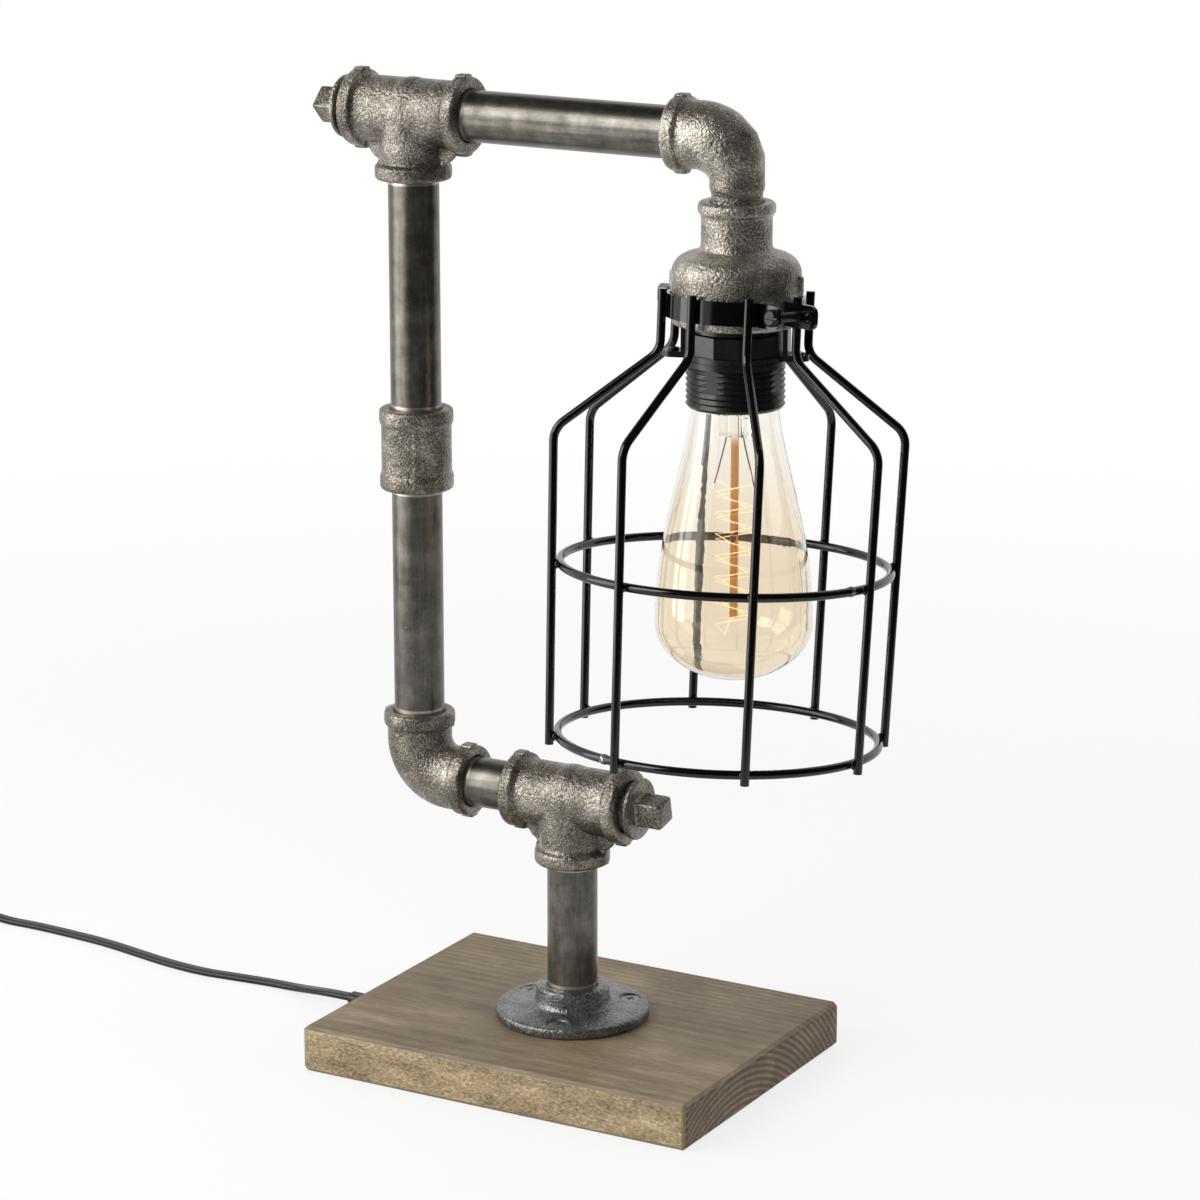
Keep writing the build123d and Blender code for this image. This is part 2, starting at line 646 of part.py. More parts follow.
def half_strap():
    """Half strap with a short ear at one end and a long ear at the other, about the split
    line along X. The other half is this one turned by half a turn."""
    ring = Circle(STRAP_OUT_R) - Circle(STRAP_IN_R)
    short_end = -asin(SHORT_EAR_OFFSET / STRAP_IN_R)
    long_end = pi - asin(LONG_EAR_OFFSET / STRAP_IN_R)
    cutter_r = 3 * STRAP_OUT_R
    wedge = Polyline((0, 0), (cutter_r * cos(short_end), cutter_r * sin(short_end)),
                     (cutter_r, -2 * cutter_r), (-cutter_r, -2 * cutter_r),
                     (-cutter_r * cos(pi - long_end), cutter_r * -sin(long_end)), close=True)
    sector = ring & make_face(wedge)
    band = Pos(0, 0, STRAP_BOTTOM_Z) * extrude(sector, STRAP_HEIGHT)
    band += ear(-SHORT_EAR_OFFSET, SHORT_EAR_REACH, [EAR_SCREW_REACH])
    band += Rot(0, 0, 180) * ear(LONG_EAR_OFFSET, LONG_EAR_REACH, [EAR_SCREW_REACH, EAR_SPARE_REACH])
    return band


def clamp_half(turn):
    """One of the two half straps in its place."""
    return Rot(0, 0, EAR_ANGLE + turn) * half_strap()


def on_ears(shape):
    """Copies of a piece that stands on the ears' screw axis, one at each side. The piece's +Z
    runs from the short ear to the long one, with 0 on the split line."""
    place = Pos(EAR_SCREW_REACH, 0, CLAMP_Z) * Rot(-90, 0, 0)
    return solids_of([Rot(0, 0, EAR_ANGLE + turn) * place * shape for turn in (0, 180)])


def strap_screws():
    """Pan-headed screws that draw the half straps together."""
    head_z = -SHORT_EAR_OFFSET - STRAP_THICK
    end_z = LONG_EAR_OFFSET + STRAP_THICK + STRAP_NUT_T + 1.0
    screw = rod(STRAP_SCREW_D / 2, head_z, end_z)
    head = spin([(0, head_z - STRAP_HEAD_T), (STRAP_HEAD_D / 2, head_z - STRAP_HEAD_T),
                 (STRAP_HEAD_D / 2, head_z), (0, head_z)], {1: 1.2})
    slot = Pos(0, 0, head_z - STRAP_HEAD_T) * Box(STRAP_HEAD_D + 1, 1.0, 2.0)
    return on_ears(screw + head - slot)


def strap_nuts():
    """Hexagon nuts behind the long ears, one flat towards the wires."""
    seat = LONG_EAR_OFFSET + STRAP_THICK
    nut = Rot(0, 0, 30) * prism(STRAP_NUT_AF, 6, seat, seat + STRAP_NUT_T)
    nut -= rod(STRAP_SCREW_D / 2 + THREAD_GAP, seat - 1, seat + STRAP_NUT_T + 1)
    return on_ears(nut)


def cage_wires():
    """Upright wires of the cage, welded on outside the strap."""
    path = FilletPolyline((NECK_WIRE_R, 0, WIRE_TOP_Z), (NECK_WIRE_R, 0, CAGE_NECK_Z),
                          (CAGE_SHOULDER_R, 0, CAGE_SHOULDER_Z), (CAGE_FOOT_R, 0, CAGE_FOOT_Z),
                          radius=[NECK_BEND_R, SHOULDER_BEND_R])
    section = Plane(origin=path @ 0, z_dir=path % 0) * Circle(WIRE_D / 2)
    wire = sweep(section, path=path)
    angles = [FIRST_WIRE_ANGLE + 360.0 / WIRES * n for n in range(WIRES)]
    return solids_of([Rot(0, 0, angle) * wire for angle in angles])


def cage_ring(z):
    """Ring of the same wire inside the upright wires at height z."""
    share = (z - CAGE_FOOT_Z) / (CAGE_SHOULDER_Z - CAGE_FOOT_Z)
    wire_r = CAGE_FOOT_R + share * (CAGE_SHOULDER_R - CAGE_FOOT_R)
    return Pos(0, 0, z) * Torus(wire_r - WIRE_D - WELD_GAP, WIRE_D / 2)


# Lampholder, upright about the drop axis

def ledge_washer():
    """Washer on the bell's inner ledge, under the nipple's nut."""
    return tube(THREAD_R - 0.3, NIPPLE_D / 2 + THREAD_GAP, LEDGE_Z, LEDGE_Z + LEDGE_WASHER_T)


def nipple_nut():
    """Hexagon nut on the hollow nipple."""
    low = LEDGE_Z + LEDGE_WASHER_T
    nut = prism(NIPPLE_NUT_AF, 6, low, low + NIPPLE_NUT_T)
    return nut - rod(NIPPLE_D / 2 + THREAD_GAP, low - 1, low + NIPPLE_NUT_T + 1)


def holder_nipple():
    """Hollow threaded nipple that carries the lampholder and passes the flex."""
    low = ROOF_Z - CAP_BOSS_T - CAP_WALL - 0.4
    high = LEDGE_Z + LEDGE_WASHER_T + NIPPLE_NUT_T + 1.0
    return tube(NIPPLE_D / 2, NIPPLE_BORE_D / 2, low, high)


def holder_cap():
    """Domed upper shell of the lampholder with a faceted collar."""
    inner_r = INSERT_D / 2 + INSERT_GAP
    outer_r = inner_r + CAP_WALL
    boss_r = CAP_BOSS_OD / 2
    hole_r = NIPPLE_D / 2 + THREAD_GAP
    boss_z = ROOF_Z - CAP_BOSS_T
    dome_z = boss_z - CAP_DOME
    body = spin([(hole_r, ROOF_Z), (boss_r, ROOF_Z), (boss_r, boss_z), (outer_r, dome_z),
                 (outer_r, CAP_BOTTOM_Z), (inner_r, CAP_BOTTOM_Z), (inner_r, dome_z - 0.5),
                 (boss_r - CAP_WALL, boss_z - CAP_WALL), (hole_r, boss_z - CAP_WALL)], {3: 4.0})
    collar = prism(CAP_COLLAR_AF, CAP_FACETS, CAP_BOTTOM_Z, CAP_BOTTOM_Z + CAP_COLLAR_H)
    collar = chamfer(collar.faces().sort_by(Axis.Z)[-1].edges(), 0.6)
    return body + (collar - rod(outer_r - 0.5, CAP_BOTTOM_Z - 1, ROOF_Z))


def holder_bracket():
    """Ring under the collar with two arms and two tabs that stand up inside the bell's rim."""
    low = CAP_BOTTOM_Z - BRACKET_T
    neck_r = INSERT_D / 2 + 0.1
    tab_in = BRACKET_TAB_OUT - BRACKET_TAB_T
    ring = tube(HOLDER_OD / 2 - 0.4, neck_r, low, CAP_BOTTOM_Z)
    arms = Rectangle(2 * BRACKET_TIP, BRACKET_WIDTH)
    arms = fillet(arms.vertices(), BRACKET_WIDTH / 2 - 0.2)
    plate = Pos(0, 0, low) * extrude(arms, BRACKET_T) - rod(neck_r, low - 1, CAP_BOTTOM_Z + 1)
    tab_height = BELL_BOTTOM_Z + BRACKET_TAB_RISE - low
    for side in (1, -1):
        tab = Box(BRACKET_TAB_T, BRACKET_WIDTH, tab_height)
        plate += Pos(side * (tab_in + BRACKET_TAB_T / 2), 0, low + tab_height / 2) * tab
        plate += Pos(side * (BRACKET_TIP - BRACKET_WIDTH / 2), 0, 0) * rod(2.2, low, CAP_BOTTOM_Z + 0.8)
    return Rot(0, 0, BRACKET_ANGLE) * (ring + plate)


def holder_body():
    """Threaded skirt with four flats, and the neck that screws into the cap."""
    root_r = HOLDER_OD / 2 - HOLDER_THREAD_H
    neck_out = INSERT_D / 2
    neck_in = neck_out - HOLDER_NECK_WALL
    top = CAP_BOTTOM_Z - BRACKET_T
    thread_top = top - HOLDER_SHOULDER
    body = spin([(HOLDER_BORE_D / 2, HOLDER_BOTTOM_Z)]
                + thread_points(HOLDER_OD / 2, HOLDER_THREAD_H, HOLDER_PITCH, HOLDER_BOTTOM_Z, thread_top)
                + [(HOLDER_OD / 2, thread_top), (HOLDER_OD / 2, top), (neck_out, top),
                   (neck_out, INSERT_BOTTOM_Z), (neck_in, INSERT_BOTTOM_Z), (neck_in, top - 2.0),
                   (HOLDER_BORE_D / 2, top - 2.0)])
    flat_low = HOLDER_BOTTOM_Z + HOLDER_PLAIN_TURNS * HOLDER_PITCH
    cutter = Box(10, HOLDER_OD, thread_top - flat_low)
    for turn in range(4):
        place = Pos(root_r + 0.05 + 5, 0, (thread_top + flat_low) / 2)
        body -= Rot(0, 0, HOLDER_FLAT_ANGLE + 90 * turn) * place * cutter
    return body


def holder_insert():
    """Ceramic block in the cap that carries the contacts."""
    block = rod(INSERT_D / 2, INSERT_BOTTOM_Z, INSERT_BOTTOM_Z + INSERT_T)
    for side in (1, -1):
        place = Pos(side * TERMINAL_SPACING / 2, 0, 0)
        block -= place * rod(TERMINAL_D / 2 + SCREW_GAP, INSERT_BOTTOM_Z + 5, INSERT_BOTTOM_Z + INSERT_T + 1)
    return block


def shell_contact():
    """Screw shell that takes the bulb's cap, hung from the ceramic block."""
    inner_r = CAP_SCREW_D / 2 + SHELL_GAP
    return tube(inner_r + SHELL_WALL, inner_r, SHELL_BOTTOM_Z, INSERT_BOTTOM_Z)


def centre_contact():
    """Spring tongue under the ceramic block, just above the bulb's tip."""
    thick = INSERT_BOTTOM_Z - BULB_TOP_Z - CONTACT_GAP
    return Pos(0, 0, INSERT_BOTTOM_Z - thick / 2) * Box(11, 5, thick)


def terminal_screws():
    """Two terminal screws in the ceramic block's top."""
    seat = INSERT_BOTTOM_Z + INSERT_T
    screw = rod(TERMINAL_D / 2, seat - 8, seat) + rod(TERMINAL_D, seat, seat + 2.0)
    return solids_of([Pos(side * TERMINAL_SPACING / 2, 0, 0) * screw for side in (1, -1)])


# Bulb, upright about the drop axis

def glass_outline(inset):
    """Points-to-curves outline of the bulb's glass, from its bottom to the top of its neck,
    moved inwards by inset."""
    wide_r = BULB_D / 2 - inset
    neck_r = BULB_NECK_R - inset
    throat_r = CAP_SCREW_D / 2 - CAP_THREAD_H - CAP_METAL_T - 0.25 - inset
    depth = BULB_WIDEST_Z - BULB_BOTTOM_Z - inset
    bottom = EllipticalCenterArc((0, BULB_WIDEST_Z), wide_r, depth, -90, arc_size=90)
    rise = BULB_NECK_Z - BULB_WIDEST_Z
    side = Bezier((wide_r, BULB_WIDEST_Z), (wide_r, BULB_WIDEST_Z + 0.42 * rise),
                  (neck_r + 3.2, BULB_NECK_Z - 0.3 * rise), (neck_r, BULB_NECK_Z))
    throat_z = cap_screw_bottom() - THROAT_GAP
    top = (throat_r, throat_z + THROAT_LENGTH)
    neck = Polyline((neck_r, BULB_NECK_Z), (throat_r, throat_z), top)
    return [bottom, side, neck], top, (0, BULB_BOTTOM_Z + inset)


def bulb_glass():
    """Thin pear-shaped glass, open at the top where it sits in its cap."""
    outer, outer_top, outer_foot = glass_outline(0)
    inner, inner_top, inner_foot = glass_outline(BULB_WALL)
    lines = outer + inner + [Line(outer_top, inner_top), Line(outer_foot, inner_foot)]
    return revolve(Plane.XZ * make_face(Curve() + lines), Axis.Z)


def cap_screw_bottom():
    """Height of the lower edge of the bulb's metal cap."""
    return BULB_TOP_Z - TIP_T - INSULATOR_T - CAP_SCREW_LENGTH


def bulb_cap():
    """Metal screw cap of the bulb."""
    low = cap_screw_bottom()
    high = low + CAP_SCREW_LENGTH
    root_r = CAP_SCREW_D / 2 - CAP_THREAD_H
    inner_r = root_r - CAP_METAL_T
    return spin([(inner_r, low), (root_r + 0.2, low)]
                + thread_points(CAP_SCREW_D / 2, CAP_THREAD_H, CAP_PITCH, low + 1.5, high - 1.0)
                + [(root_r, high), (inner_r, high)])


def bulb_insulator():
    """Dark glass cone between the cap's shell and its tip."""
    low = BULB_TOP_Z - TIP_T - INSULATOR_T
    root_r = CAP_SCREW_D / 2 - CAP_THREAD_H
    return spin([(0, low), (root_r, low), (TIP_D / 2 + 0.5, low + INSULATOR_T), (0, low + INSULATOR_T)])


def bulb_tip():
    """Solder contact at the cap's tip."""
    low = BULB_TOP_Z - TIP_T
    return spin([(0, low), (TIP_D / 2, low), (TIP_D / 2 - 1.2, BULB_TOP_Z), (0, BULB_TOP_Z)])


def bulb_stem():
    """Glass stem: a flare in the neck, a pinch that holds the leads, and a rod."""
    throat_r = CAP_SCREW_D / 2 - CAP_THREAD_H - CAP_METAL_T - 0.25 - BULB_WALL
    flare_z = cap_screw_bottom() - THROAT_GAP + THROAT_LENGTH
    stem_r = 4.0
    body = spin([(0, STEM_PINCH_Z), (stem_r, STEM_PINCH_Z), (stem_r, flare_z - 7),
                 (throat_r - 0.1, flare_z - 1), (throat_r - 0.1, flare_z), (0, flare_z)], {3: 2.0})
    pinch = Pos(0, 0, STEM_PINCH_Z + 4) * Box(13, 3.6, 8)
    return body + pinch + rod(STEM_ROD_D / 2, STEM_ROD_END_Z, STEM_PINCH_Z)


def bulb_leads():
    """Two lead wires from the pinch to the filament's ends, one much longer than the other."""
    wires = []
    for side, end_z in ((1, FILAMENT_TOP_Z), (-1, FILAMENT_BOTTOM_Z)):
        start = (side * 4.5, 0, STEM_PINCH_Z - 0.05)
        knee = (side * (FILAMENT_R + LEAD_OUT), 0, (STEM_PINCH_Z + FILAMENT_TOP_Z) / 2)
        end = (side * (FILAMENT_R + LEAD_OUT), 0, end_z)
        path = FilletPolyline(start, knee, end, radius=LEAD_BEND_R)
        wires.append(sweep(Plane(origin=path @ 0, z_dir=path % 0) * Circle(LEAD_D / 2), path=path))
    return solids_of(wires)


def half_turn(start, end, bulge):
    """Half circle in space from start to end that bulges to the side of the vector given."""
    middle = (Vector(*start) + Vector(*end)) * 0.5
    radius = (Vector(*end) - Vector(*start)).length / 2
    return ThreePointArc(start, middle + Vector(*bulge).normalized() * radius, end).edge()


def filament():
    """Filament that winds round the stem's rod from the short lead's end to the long one's."""
    steps = 2 * FILAMENT_TURNS + 1
    drop = (FILAMENT_TOP_Z - FILAMENT_BOTTOM_Z - 2 * LEAD_D) / steps
    edges = []
    side, z = 1, FILAMENT_TOP_Z - LEAD_D
    for step in range(steps):
        edges.append(half_turn((side * FILAMENT_R, 0, z), (-side * FILAMENT_R, 0, z - drop), (0, -side, 0)))
        side, z = -side, z - drop
    path = Wire(edges)
    section = Plane(origin=path @ 0, z_dir=path % 0) * Circle(FILAMENT_D / 2)
    return sweep(section, path=path)


# Flex inside the pipework

def round_flex(points, radii):
    """Round flex along straight runs and arcs."""
    path = FilletPolyline(*points, radius=radii)
    return sweep(Plane(origin=path @ 0, z_dir=path % 0) * Circle(INNER_FLEX_D / 2), path=path)


def flex_lower():
    """Flex from the board's pocket up to just short of the arm's swivel."""
    low = GROOVE_CEILING - FLEX_SLACK - INNER_FLEX_D / 2
    split = ARM_Z - FACE_REACH - FLEX_SPLIT
    points = [(FLEX_END_X, CORD_EXIT_Y, low), (0, 0, low), (0, 0, LOWER_RUN_Z), (POST_X, 0, LOWER_RUN_Z),
              (POST_X, 0, split)]
    return round_flex(points, [ENTRY_BEND_R, INNER_BEND_R, INNER_BEND_R])


def flex_arm():
    """Flex from the arm's swivel to the head's, along the arm."""
    start = ARM_Z - FACE_REACH - FLEX_SPLIT + FLEX_SPLIT_GAP
    end = DROP_X - FACE_REACH - FLEX_SPLIT
    return round_flex([(POST_X, 0, start), (POST_X, 0, ARM_Z), (end, 0, ARM_Z)], [INNER_BEND_R])


def flex_head():
    """Flex from the head's swivel down to the lampholder's terminals, about the drop axis."""
    start = -FACE_REACH - FLEX_SPLIT + FLEX_SPLIT_GAP
    end = INSERT_BOTTOM_Z + INSERT_T + 0.3
    return round_flex([(start, 0, ARM_Z), (0, 0, ARM_Z), (0, 0, end)], [INNER_BEND_R])


# Free cord

def flat_section(plane_z, origin, upright):
    """The twin flex's section across its path. upright stands it on edge."""
    plane = Plane(origin=origin, z_dir=plane_z, x_dir=(0, 1, 0))
    return plane * SlotOverall(FLEX_WIDTH, FLEX_THICK, rotation=90 if upright else 0)


def flex_entry():
    """Flat flex through the clamp, the groove and the strain relief."""
    length = BOARD_LENGTH / 2 + RELIEF_OUT + FLEX_END_X
    section = flat_section((-1, 0, 0), (FLEX_END_X, CORD_EXIT_Y, FLEX_Z), False)
    return extrude(section, length)


def strain_relief():
    """Tapered sleeve round the flex, with a block that sits in the groove."""
    face = -BOARD_LENGTH / 2
    block_height = GROOVE_CEILING - 0.6
    block = Pos(face + RELIEF_IN / 2, CORD_EXIT_Y, 0.4 + block_height / 2) * Box(
        RELIEF_IN, GROOVE_WIDTH - 0.4, block_height)
    root = Plane(origin=(face, CORD_EXIT_Y, 0.4 + block_height / 2), z_dir=(-1, 0, 0), x_dir=(0, 1, 0))
    tip = Plane(origin=(face - RELIEF_OUT, CORD_EXIT_Y, FLEX_Z), z_dir=(-1, 0, 0), x_dir=(0, 1, 0))
    taper = loft([root * RectangleRounded(RELIEF_WIDTH, block_height, 2.0),
                  tip * RectangleRounded(RELIEF_TIP_WIDTH, RELIEF_TIP_HEIGHT, 2.0)])
    hole = Plane(origin=(face - RELIEF_OUT - 1, CORD_EXIT_Y, FLEX_Z), z_dir=(1, 0, 0), x_dir=(0, 1, 0))
    slot = SlotOverall(FLEX_WIDTH + 2 * FLEX_FIT, FLEX_THICK + 2 * FLEX_FIT)
    return block + taper - extrude(hole * slot, RELIEF_OUT + RELIEF_IN + 2)


def free_points():
    """Route of the flex over the table, from the strain relief to the switch."""
    floor = FLOOR_FLEX_Z
    start = -BOARD_LENGTH / 2 - RELIEF_OUT
    return [(start, CORD_EXIT_Y, FLEX_Z), (-121.0, 0.0, FLEX_Z), (-133.0, 3.8, 5.0), (-146.0, 9.0, 2.2),
            (-161.0, 10.2, floor), (-180.0, 8.4, floor), (-196.0, 6.7, floor), (-215.8, 8.6, floor),
            (-231.5, 11.7, floor), (-255.6, 16.9, floor), (-277.7, 18.9, floor), (-300.0, 20.2, floor),
            (-318.0, 19.3, floor), (-336.0, SWITCH_Y, SWITCH_LOWER_H), (SWITCH_X, SWITCH_Y, SWITCH_LOWER_H)]


def corner_radii(points):
    """Radius of each corner: 0.45 of its shorter run over the tangent of half its turn."""
    radii = []
    for before, at, after in zip(points, points[1:], points[2:]):
        run_in = Vector(*at) - Vector(*before)
        run_out = Vector(*after) - Vector(*at)
        half = radians(run_in.get_angle(run_out)) / 2
        radii.append(0.45 * min(run_in.length, run_out.length) / tan(half))
    return radii


def report_tube(name, shape, section, path):
    """Print a swept tube's volume beside its section times its length."""
    print(f"{name}: length {path.length:.1f}, volume {shape.volume:.1f},"
          f" section x length {section.area * path.length:.1f}, lowest {shape.bounding_box().min.Z:.2f}")


def flex_free():
    """Flat flex lying on the table between the strain relief and the switch."""
    points = free_points()
    radii = corner_radii(points)
    print("free flex radii:", " ".join(f"{radius:.0f}" for radius in radii))
    path = FilletPolyline(*points, radius=radii)
    section = flat_section(path % 0, path @ 0, False)
    shape = sweep(section, path=path)
    report_tube("flex_free", shape, section, path)
    return shape


def coil_step():
    """How much the coil's radius changes in each half turn."""
    return (FLEX_THICK + COIL_TURN_GAP) / 2


def coil_edges():
    """Half turns of the coil: spiral in, climb a layer, spiral out."""
    step = coil_step()
    low = coil_low_z()
    high = low + FLEX_WIDTH + COIL_LAYER_GAP
    y = SWITCH_Y
    edges = []
    radius, side = COIL_R, -1
    radii = [COIL_R - step * n for n in range(COIL_HALF_TURNS)]
    radii = radii + [COIL_R - step * COIL_HALF_TURNS] + radii[::-1]
    for index, radius in enumerate(radii):
        z0 = low if index <= COIL_HALF_TURNS else high
        z1 = low if index < COIL_HALF_TURNS else high
        end_y = y + side * 2 * radius
        edges.append(half_turn((COIL_CENTRE_X, y, z0), (COIL_CENTRE_X, end_y, z1), (side, 0, 0)))
        y, side = end_y, -side
    return edges, (COIL_CENTRE_X, y, high)


def coil_low_z():
    """Height of the flex's axis in the coil's lower layer, which lies on the tie."""
    return TIE_THICK + TIE_GAP + FLEX_WIDTH / 2


def plug_start():
    """Where the flex enters the plug."""
    end = coil_edges()[1]
    return COIL_CENTRE_X + COIL_R + PLUG_STANDOFF_X, end[1], PLUG_THICK / 2


def flex_coil():
    """The put-away length, on edge: from the switch through the coil's two layers to the plug."""
    turns, end = coil_edges()
    start_x = SWITCH_X - SWITCH_LENGTH
    low = coil_low_z()
    lead_in = [(start_x, SWITCH_Y, SWITCH_LOWER_H), (start_x - 10, SWITCH_Y, SWITCH_LOWER_H),
               (start_x - 28, SWITCH_Y, low), (COIL_CENTRE_X, SWITCH_Y, low)]
    plug_x, plug_y, plug_z = plug_start()
    lead_out = [end, (COIL_CENTRE_X + 12, plug_y, end[2]), (plug_x - 12, plug_y, plug_z),
                (plug_x, plug_y, plug_z)]
    first = FilletPolyline(*lead_in, radius=corner_radii(lead_in))
    last = FilletPolyline(*lead_out, radius=corner_radii(lead_out))
    path = Wire(list(first.edges()) + turns + list(last.edges()))
    section = flat_section(path % 0, path @ 0, True)
    shape = sweep(section, path=path)
    report_tube("flex_coil", shape, section, path)
    report_self_gap(path)
    return shape


def report_self_gap(path):
    """Print the least gap between turns, from points along the middle of the flex."""
    count = int(path.length / 1.5)
    points = [path @ (n / count) for n in range(count + 1)]
    skip = int(30.0 / path.length * count)
    least = 1e9
    for first in range(len(points)):
        for second in range(first + skip, len(points)):
            gap = points[first] - points[second]
            across = hypot(gap.X, gap.Y) - FLEX_THICK
            above = abs(gap.Z) - FLEX_WIDTH
            least = min(least, max(across, above))
    print(f"flex_coil: least gap between turns {least:.2f}")


def cord_tie():
    """Band round the coil's turns on the side away from the board."""
    turns = [edge for edge in coil_edges()[0] if (edge @ 0.5).X < COIL_CENTRE_X]
    reach = [(edge @ 0.5).X for edge in turns]
    lean = 2 * asin((FLEX_WIDTH + COIL_LAYER_GAP) / 2 / (COIL_R - coil_step() * COIL_HALF_TURNS))
    half = FLEX_THICK / 2 + (FLEX_WIDTH - FLEX_THICK) / 2 * sin(lean) + TIE_GAP
    x0, x1 = min(reach) - half - TIE_THICK, max(reach) + half + TIE_THICK
    z1 = coil_edges()[1][2] + FLEX_WIDTH / 2 + TIE_GAP + TIE_THICK
    middle_y = SWITCH_Y - COIL_R
    outer = Pos((x0 + x1) / 2, middle_y, z1 / 2) * Box(x1 - x0, TIE_WIDTH, z1)
    inner = Pos((x0 + x1) / 2, middle_y, z1 / 2) * Box(
        x1 - x0 - 2 * TIE_THICK, TIE_WIDTH + 1, z1 - 2 * TIE_THICK)
    outer = fillet(outer.edges().filter_by(Axis.Y), 1.5)
    inner = fillet(inner.edges().filter_by(Axis.Y), 0.9)
    return outer - inner


def on_switch(shape):
    """Place a piece modelled about the middle of the switch's underside."""
    return Pos(SWITCH_X - SWITCH_LENGTH / 2, SWITCH_Y, 0) * shape


def switch_shell(height, open_up):
    """One half of the switch's housing, as a tray with rounded ends."""
    outline = RectangleRounded(SWITCH_LENGTH, SWITCH_WIDTH, SWITCH_CORNER_R)
    inside = RectangleRounded(SWITCH_LENGTH - 2 * SWITCH_WALL, SWITCH_WIDTH - 2 * SWITCH_WALL,
                              SWITCH_CORNER_R - SWITCH_WALL)
    shell = extrude(outline, height)
    outer_face = shell.faces().sort_by(Axis.Z)[-1 if not open_up else 0]
    shell = fillet(outer_face.edges(), 1.6)
    floor = SWITCH_WALL if open_up else 0
    return shell - Pos(0, 0, floor) * extrude(inside, height - SWITCH_WALL)


def switch_lower():
    """Lower half of the switch, with a seat for the contacts."""
    return on_switch(switch_shell(SWITCH_LOWER_H, True))


def switch_upper():
    """Upper half, with the rocker's window and two bearing blocks."""
    shell = Pos(0, 0, SWITCH_LOWER_H) * switch_shell(SWITCH_UPPER_H, False)
    top = SWITCH_LOWER_H + SWITCH_UPPER_H
    block_in = ROCKER_WIDTH / 2 + ROCKER_GAP
    block_t = SWITCH_WIDTH / 2 - SWITCH_WALL - block_in
    block_z = ROCKER_PIVOT_Z - ROCKER_PIN_D
    for side in (1, -1):
        place = Pos(0, side * (block_in + block_t / 2), (top - SWITCH_WALL + block_z) / 2)
        shell += place * Box(2.4 * ROCKER_PIN_D, block_t, top - SWITCH_WALL - block_z)
    shell -= Pos(0, 0, top) * Box(ROCKER_LENGTH + 2 * ROCKER_GAP, ROCKER_WIDTH + 2 * ROCKER_GAP,
                                  2 * SWITCH_UPPER_H)
    bore = rod(ROCKER_PIN_D / 2 + PIN_GAP, -ROCKER_WIDTH, ROCKER_WIDTH)
    return on_switch(shell - Pos(0, 0, ROCKER_PIVOT_Z) * Rot(90, 0, 0) * bore)


def switch_rocker():
    """Rocker with its pivot pin, tilted to one side."""
    top = SWITCH_LOWER_H + SWITCH_UPPER_H + ROCKER_RISE - ROCKER_PIVOT_Z
    half = (ROCKER_LENGTH / 2 - top * sin(radians(ROCKER_TILT))) / cos(radians(ROCKER_TILT))
    outline = Polyline((-half, top), (0, top - 0.8), (half, top), (half - 1.4, -ROCKER_PIN_D),
                       (1.5 - half, -ROCKER_PIN_D), close=True)
    body = extrude(Plane.XZ * make_face(outline), ROCKER_WIDTH / 2, both=True)
    pin = Rot(90, 0, 0) * rod(ROCKER_PIN_D / 2, -ROCKER_WIDTH + 0.5, ROCKER_WIDTH - 0.5)
    return on_switch(Pos(0, 0, ROCKER_PIVOT_Z) * Rot(0, -ROCKER_TILT, 0) * (body + pin))


def switch_contacts():
    """Two contact strips on the floor of the switch."""
    strip = Box(16, 3, 1.5)
    places = [Pos(side * 12, 0, SWITCH_WALL + 0.75) for side in (1, -1)]
    return solids_of([on_switch(place * strip) for place in places])


def plug_body():
    """Flat two-pin plug beside the coil."""
    tail, wide = PLUG_TAIL_WIDTH / 2, PLUG_WIDTH / 2
    outline = Polyline((0, -tail), (0, tail), (8, tail), (PLUG_LENGTH - 16, wide), (PLUG_LENGTH, wide),
                       (PLUG_LENGTH, -wide), (PLUG_LENGTH - 16, -wide), (8, -tail), close=True)
    body = extrude(make_face(outline), PLUG_THICK)
    body = fillet(body.edges().filter_by(Axis.Z), 2.0)
    body = chamfer(body.faces().filter_by(Axis.Z).edges(), 1.2)
    x, y, z = plug_start()
    for side in (1, -1):
        pin_hole = Pos(PLUG_LENGTH, side * PIN_SPACING / 2, z) * Rot(0, -90, 0)
        body -= pin_hole * rod(PIN_D / 2 + THREAD_GAP, -1, PIN_SEAT)
    return Pos(x, y, 0) * body


def plug_pins():
    """The plug's two round pins."""
    x, y, z = plug_start()
    pin = spin([(0, -PIN_SEAT), (PIN_D / 2, -PIN_SEAT), (PIN_D / 2, PIN_LENGTH), (0, PIN_LENGTH)], {2: 1.6})
    places = [Pos(x + PLUG_LENGTH, y + side * PIN_SPACING / 2, z) for side in (1, -1)]
    return solids_of([place * ALONG["+X"] * pin for place in places])


# Assembly

def on_head(shape):
    """Place a piece of the head on the drop axis."""
    return Pos(DROP_X, 0, 0) * shape


def on_clamp(shape):
    """Place a piece of the cage, which its clamp holds a little askew on the bell."""
    return Pos(DROP_X, 0, CLAMP_Z) * Rot(-CAGE_LEAN, 0, 0) * Pos(0, 0, -CLAMP_Z) * shape


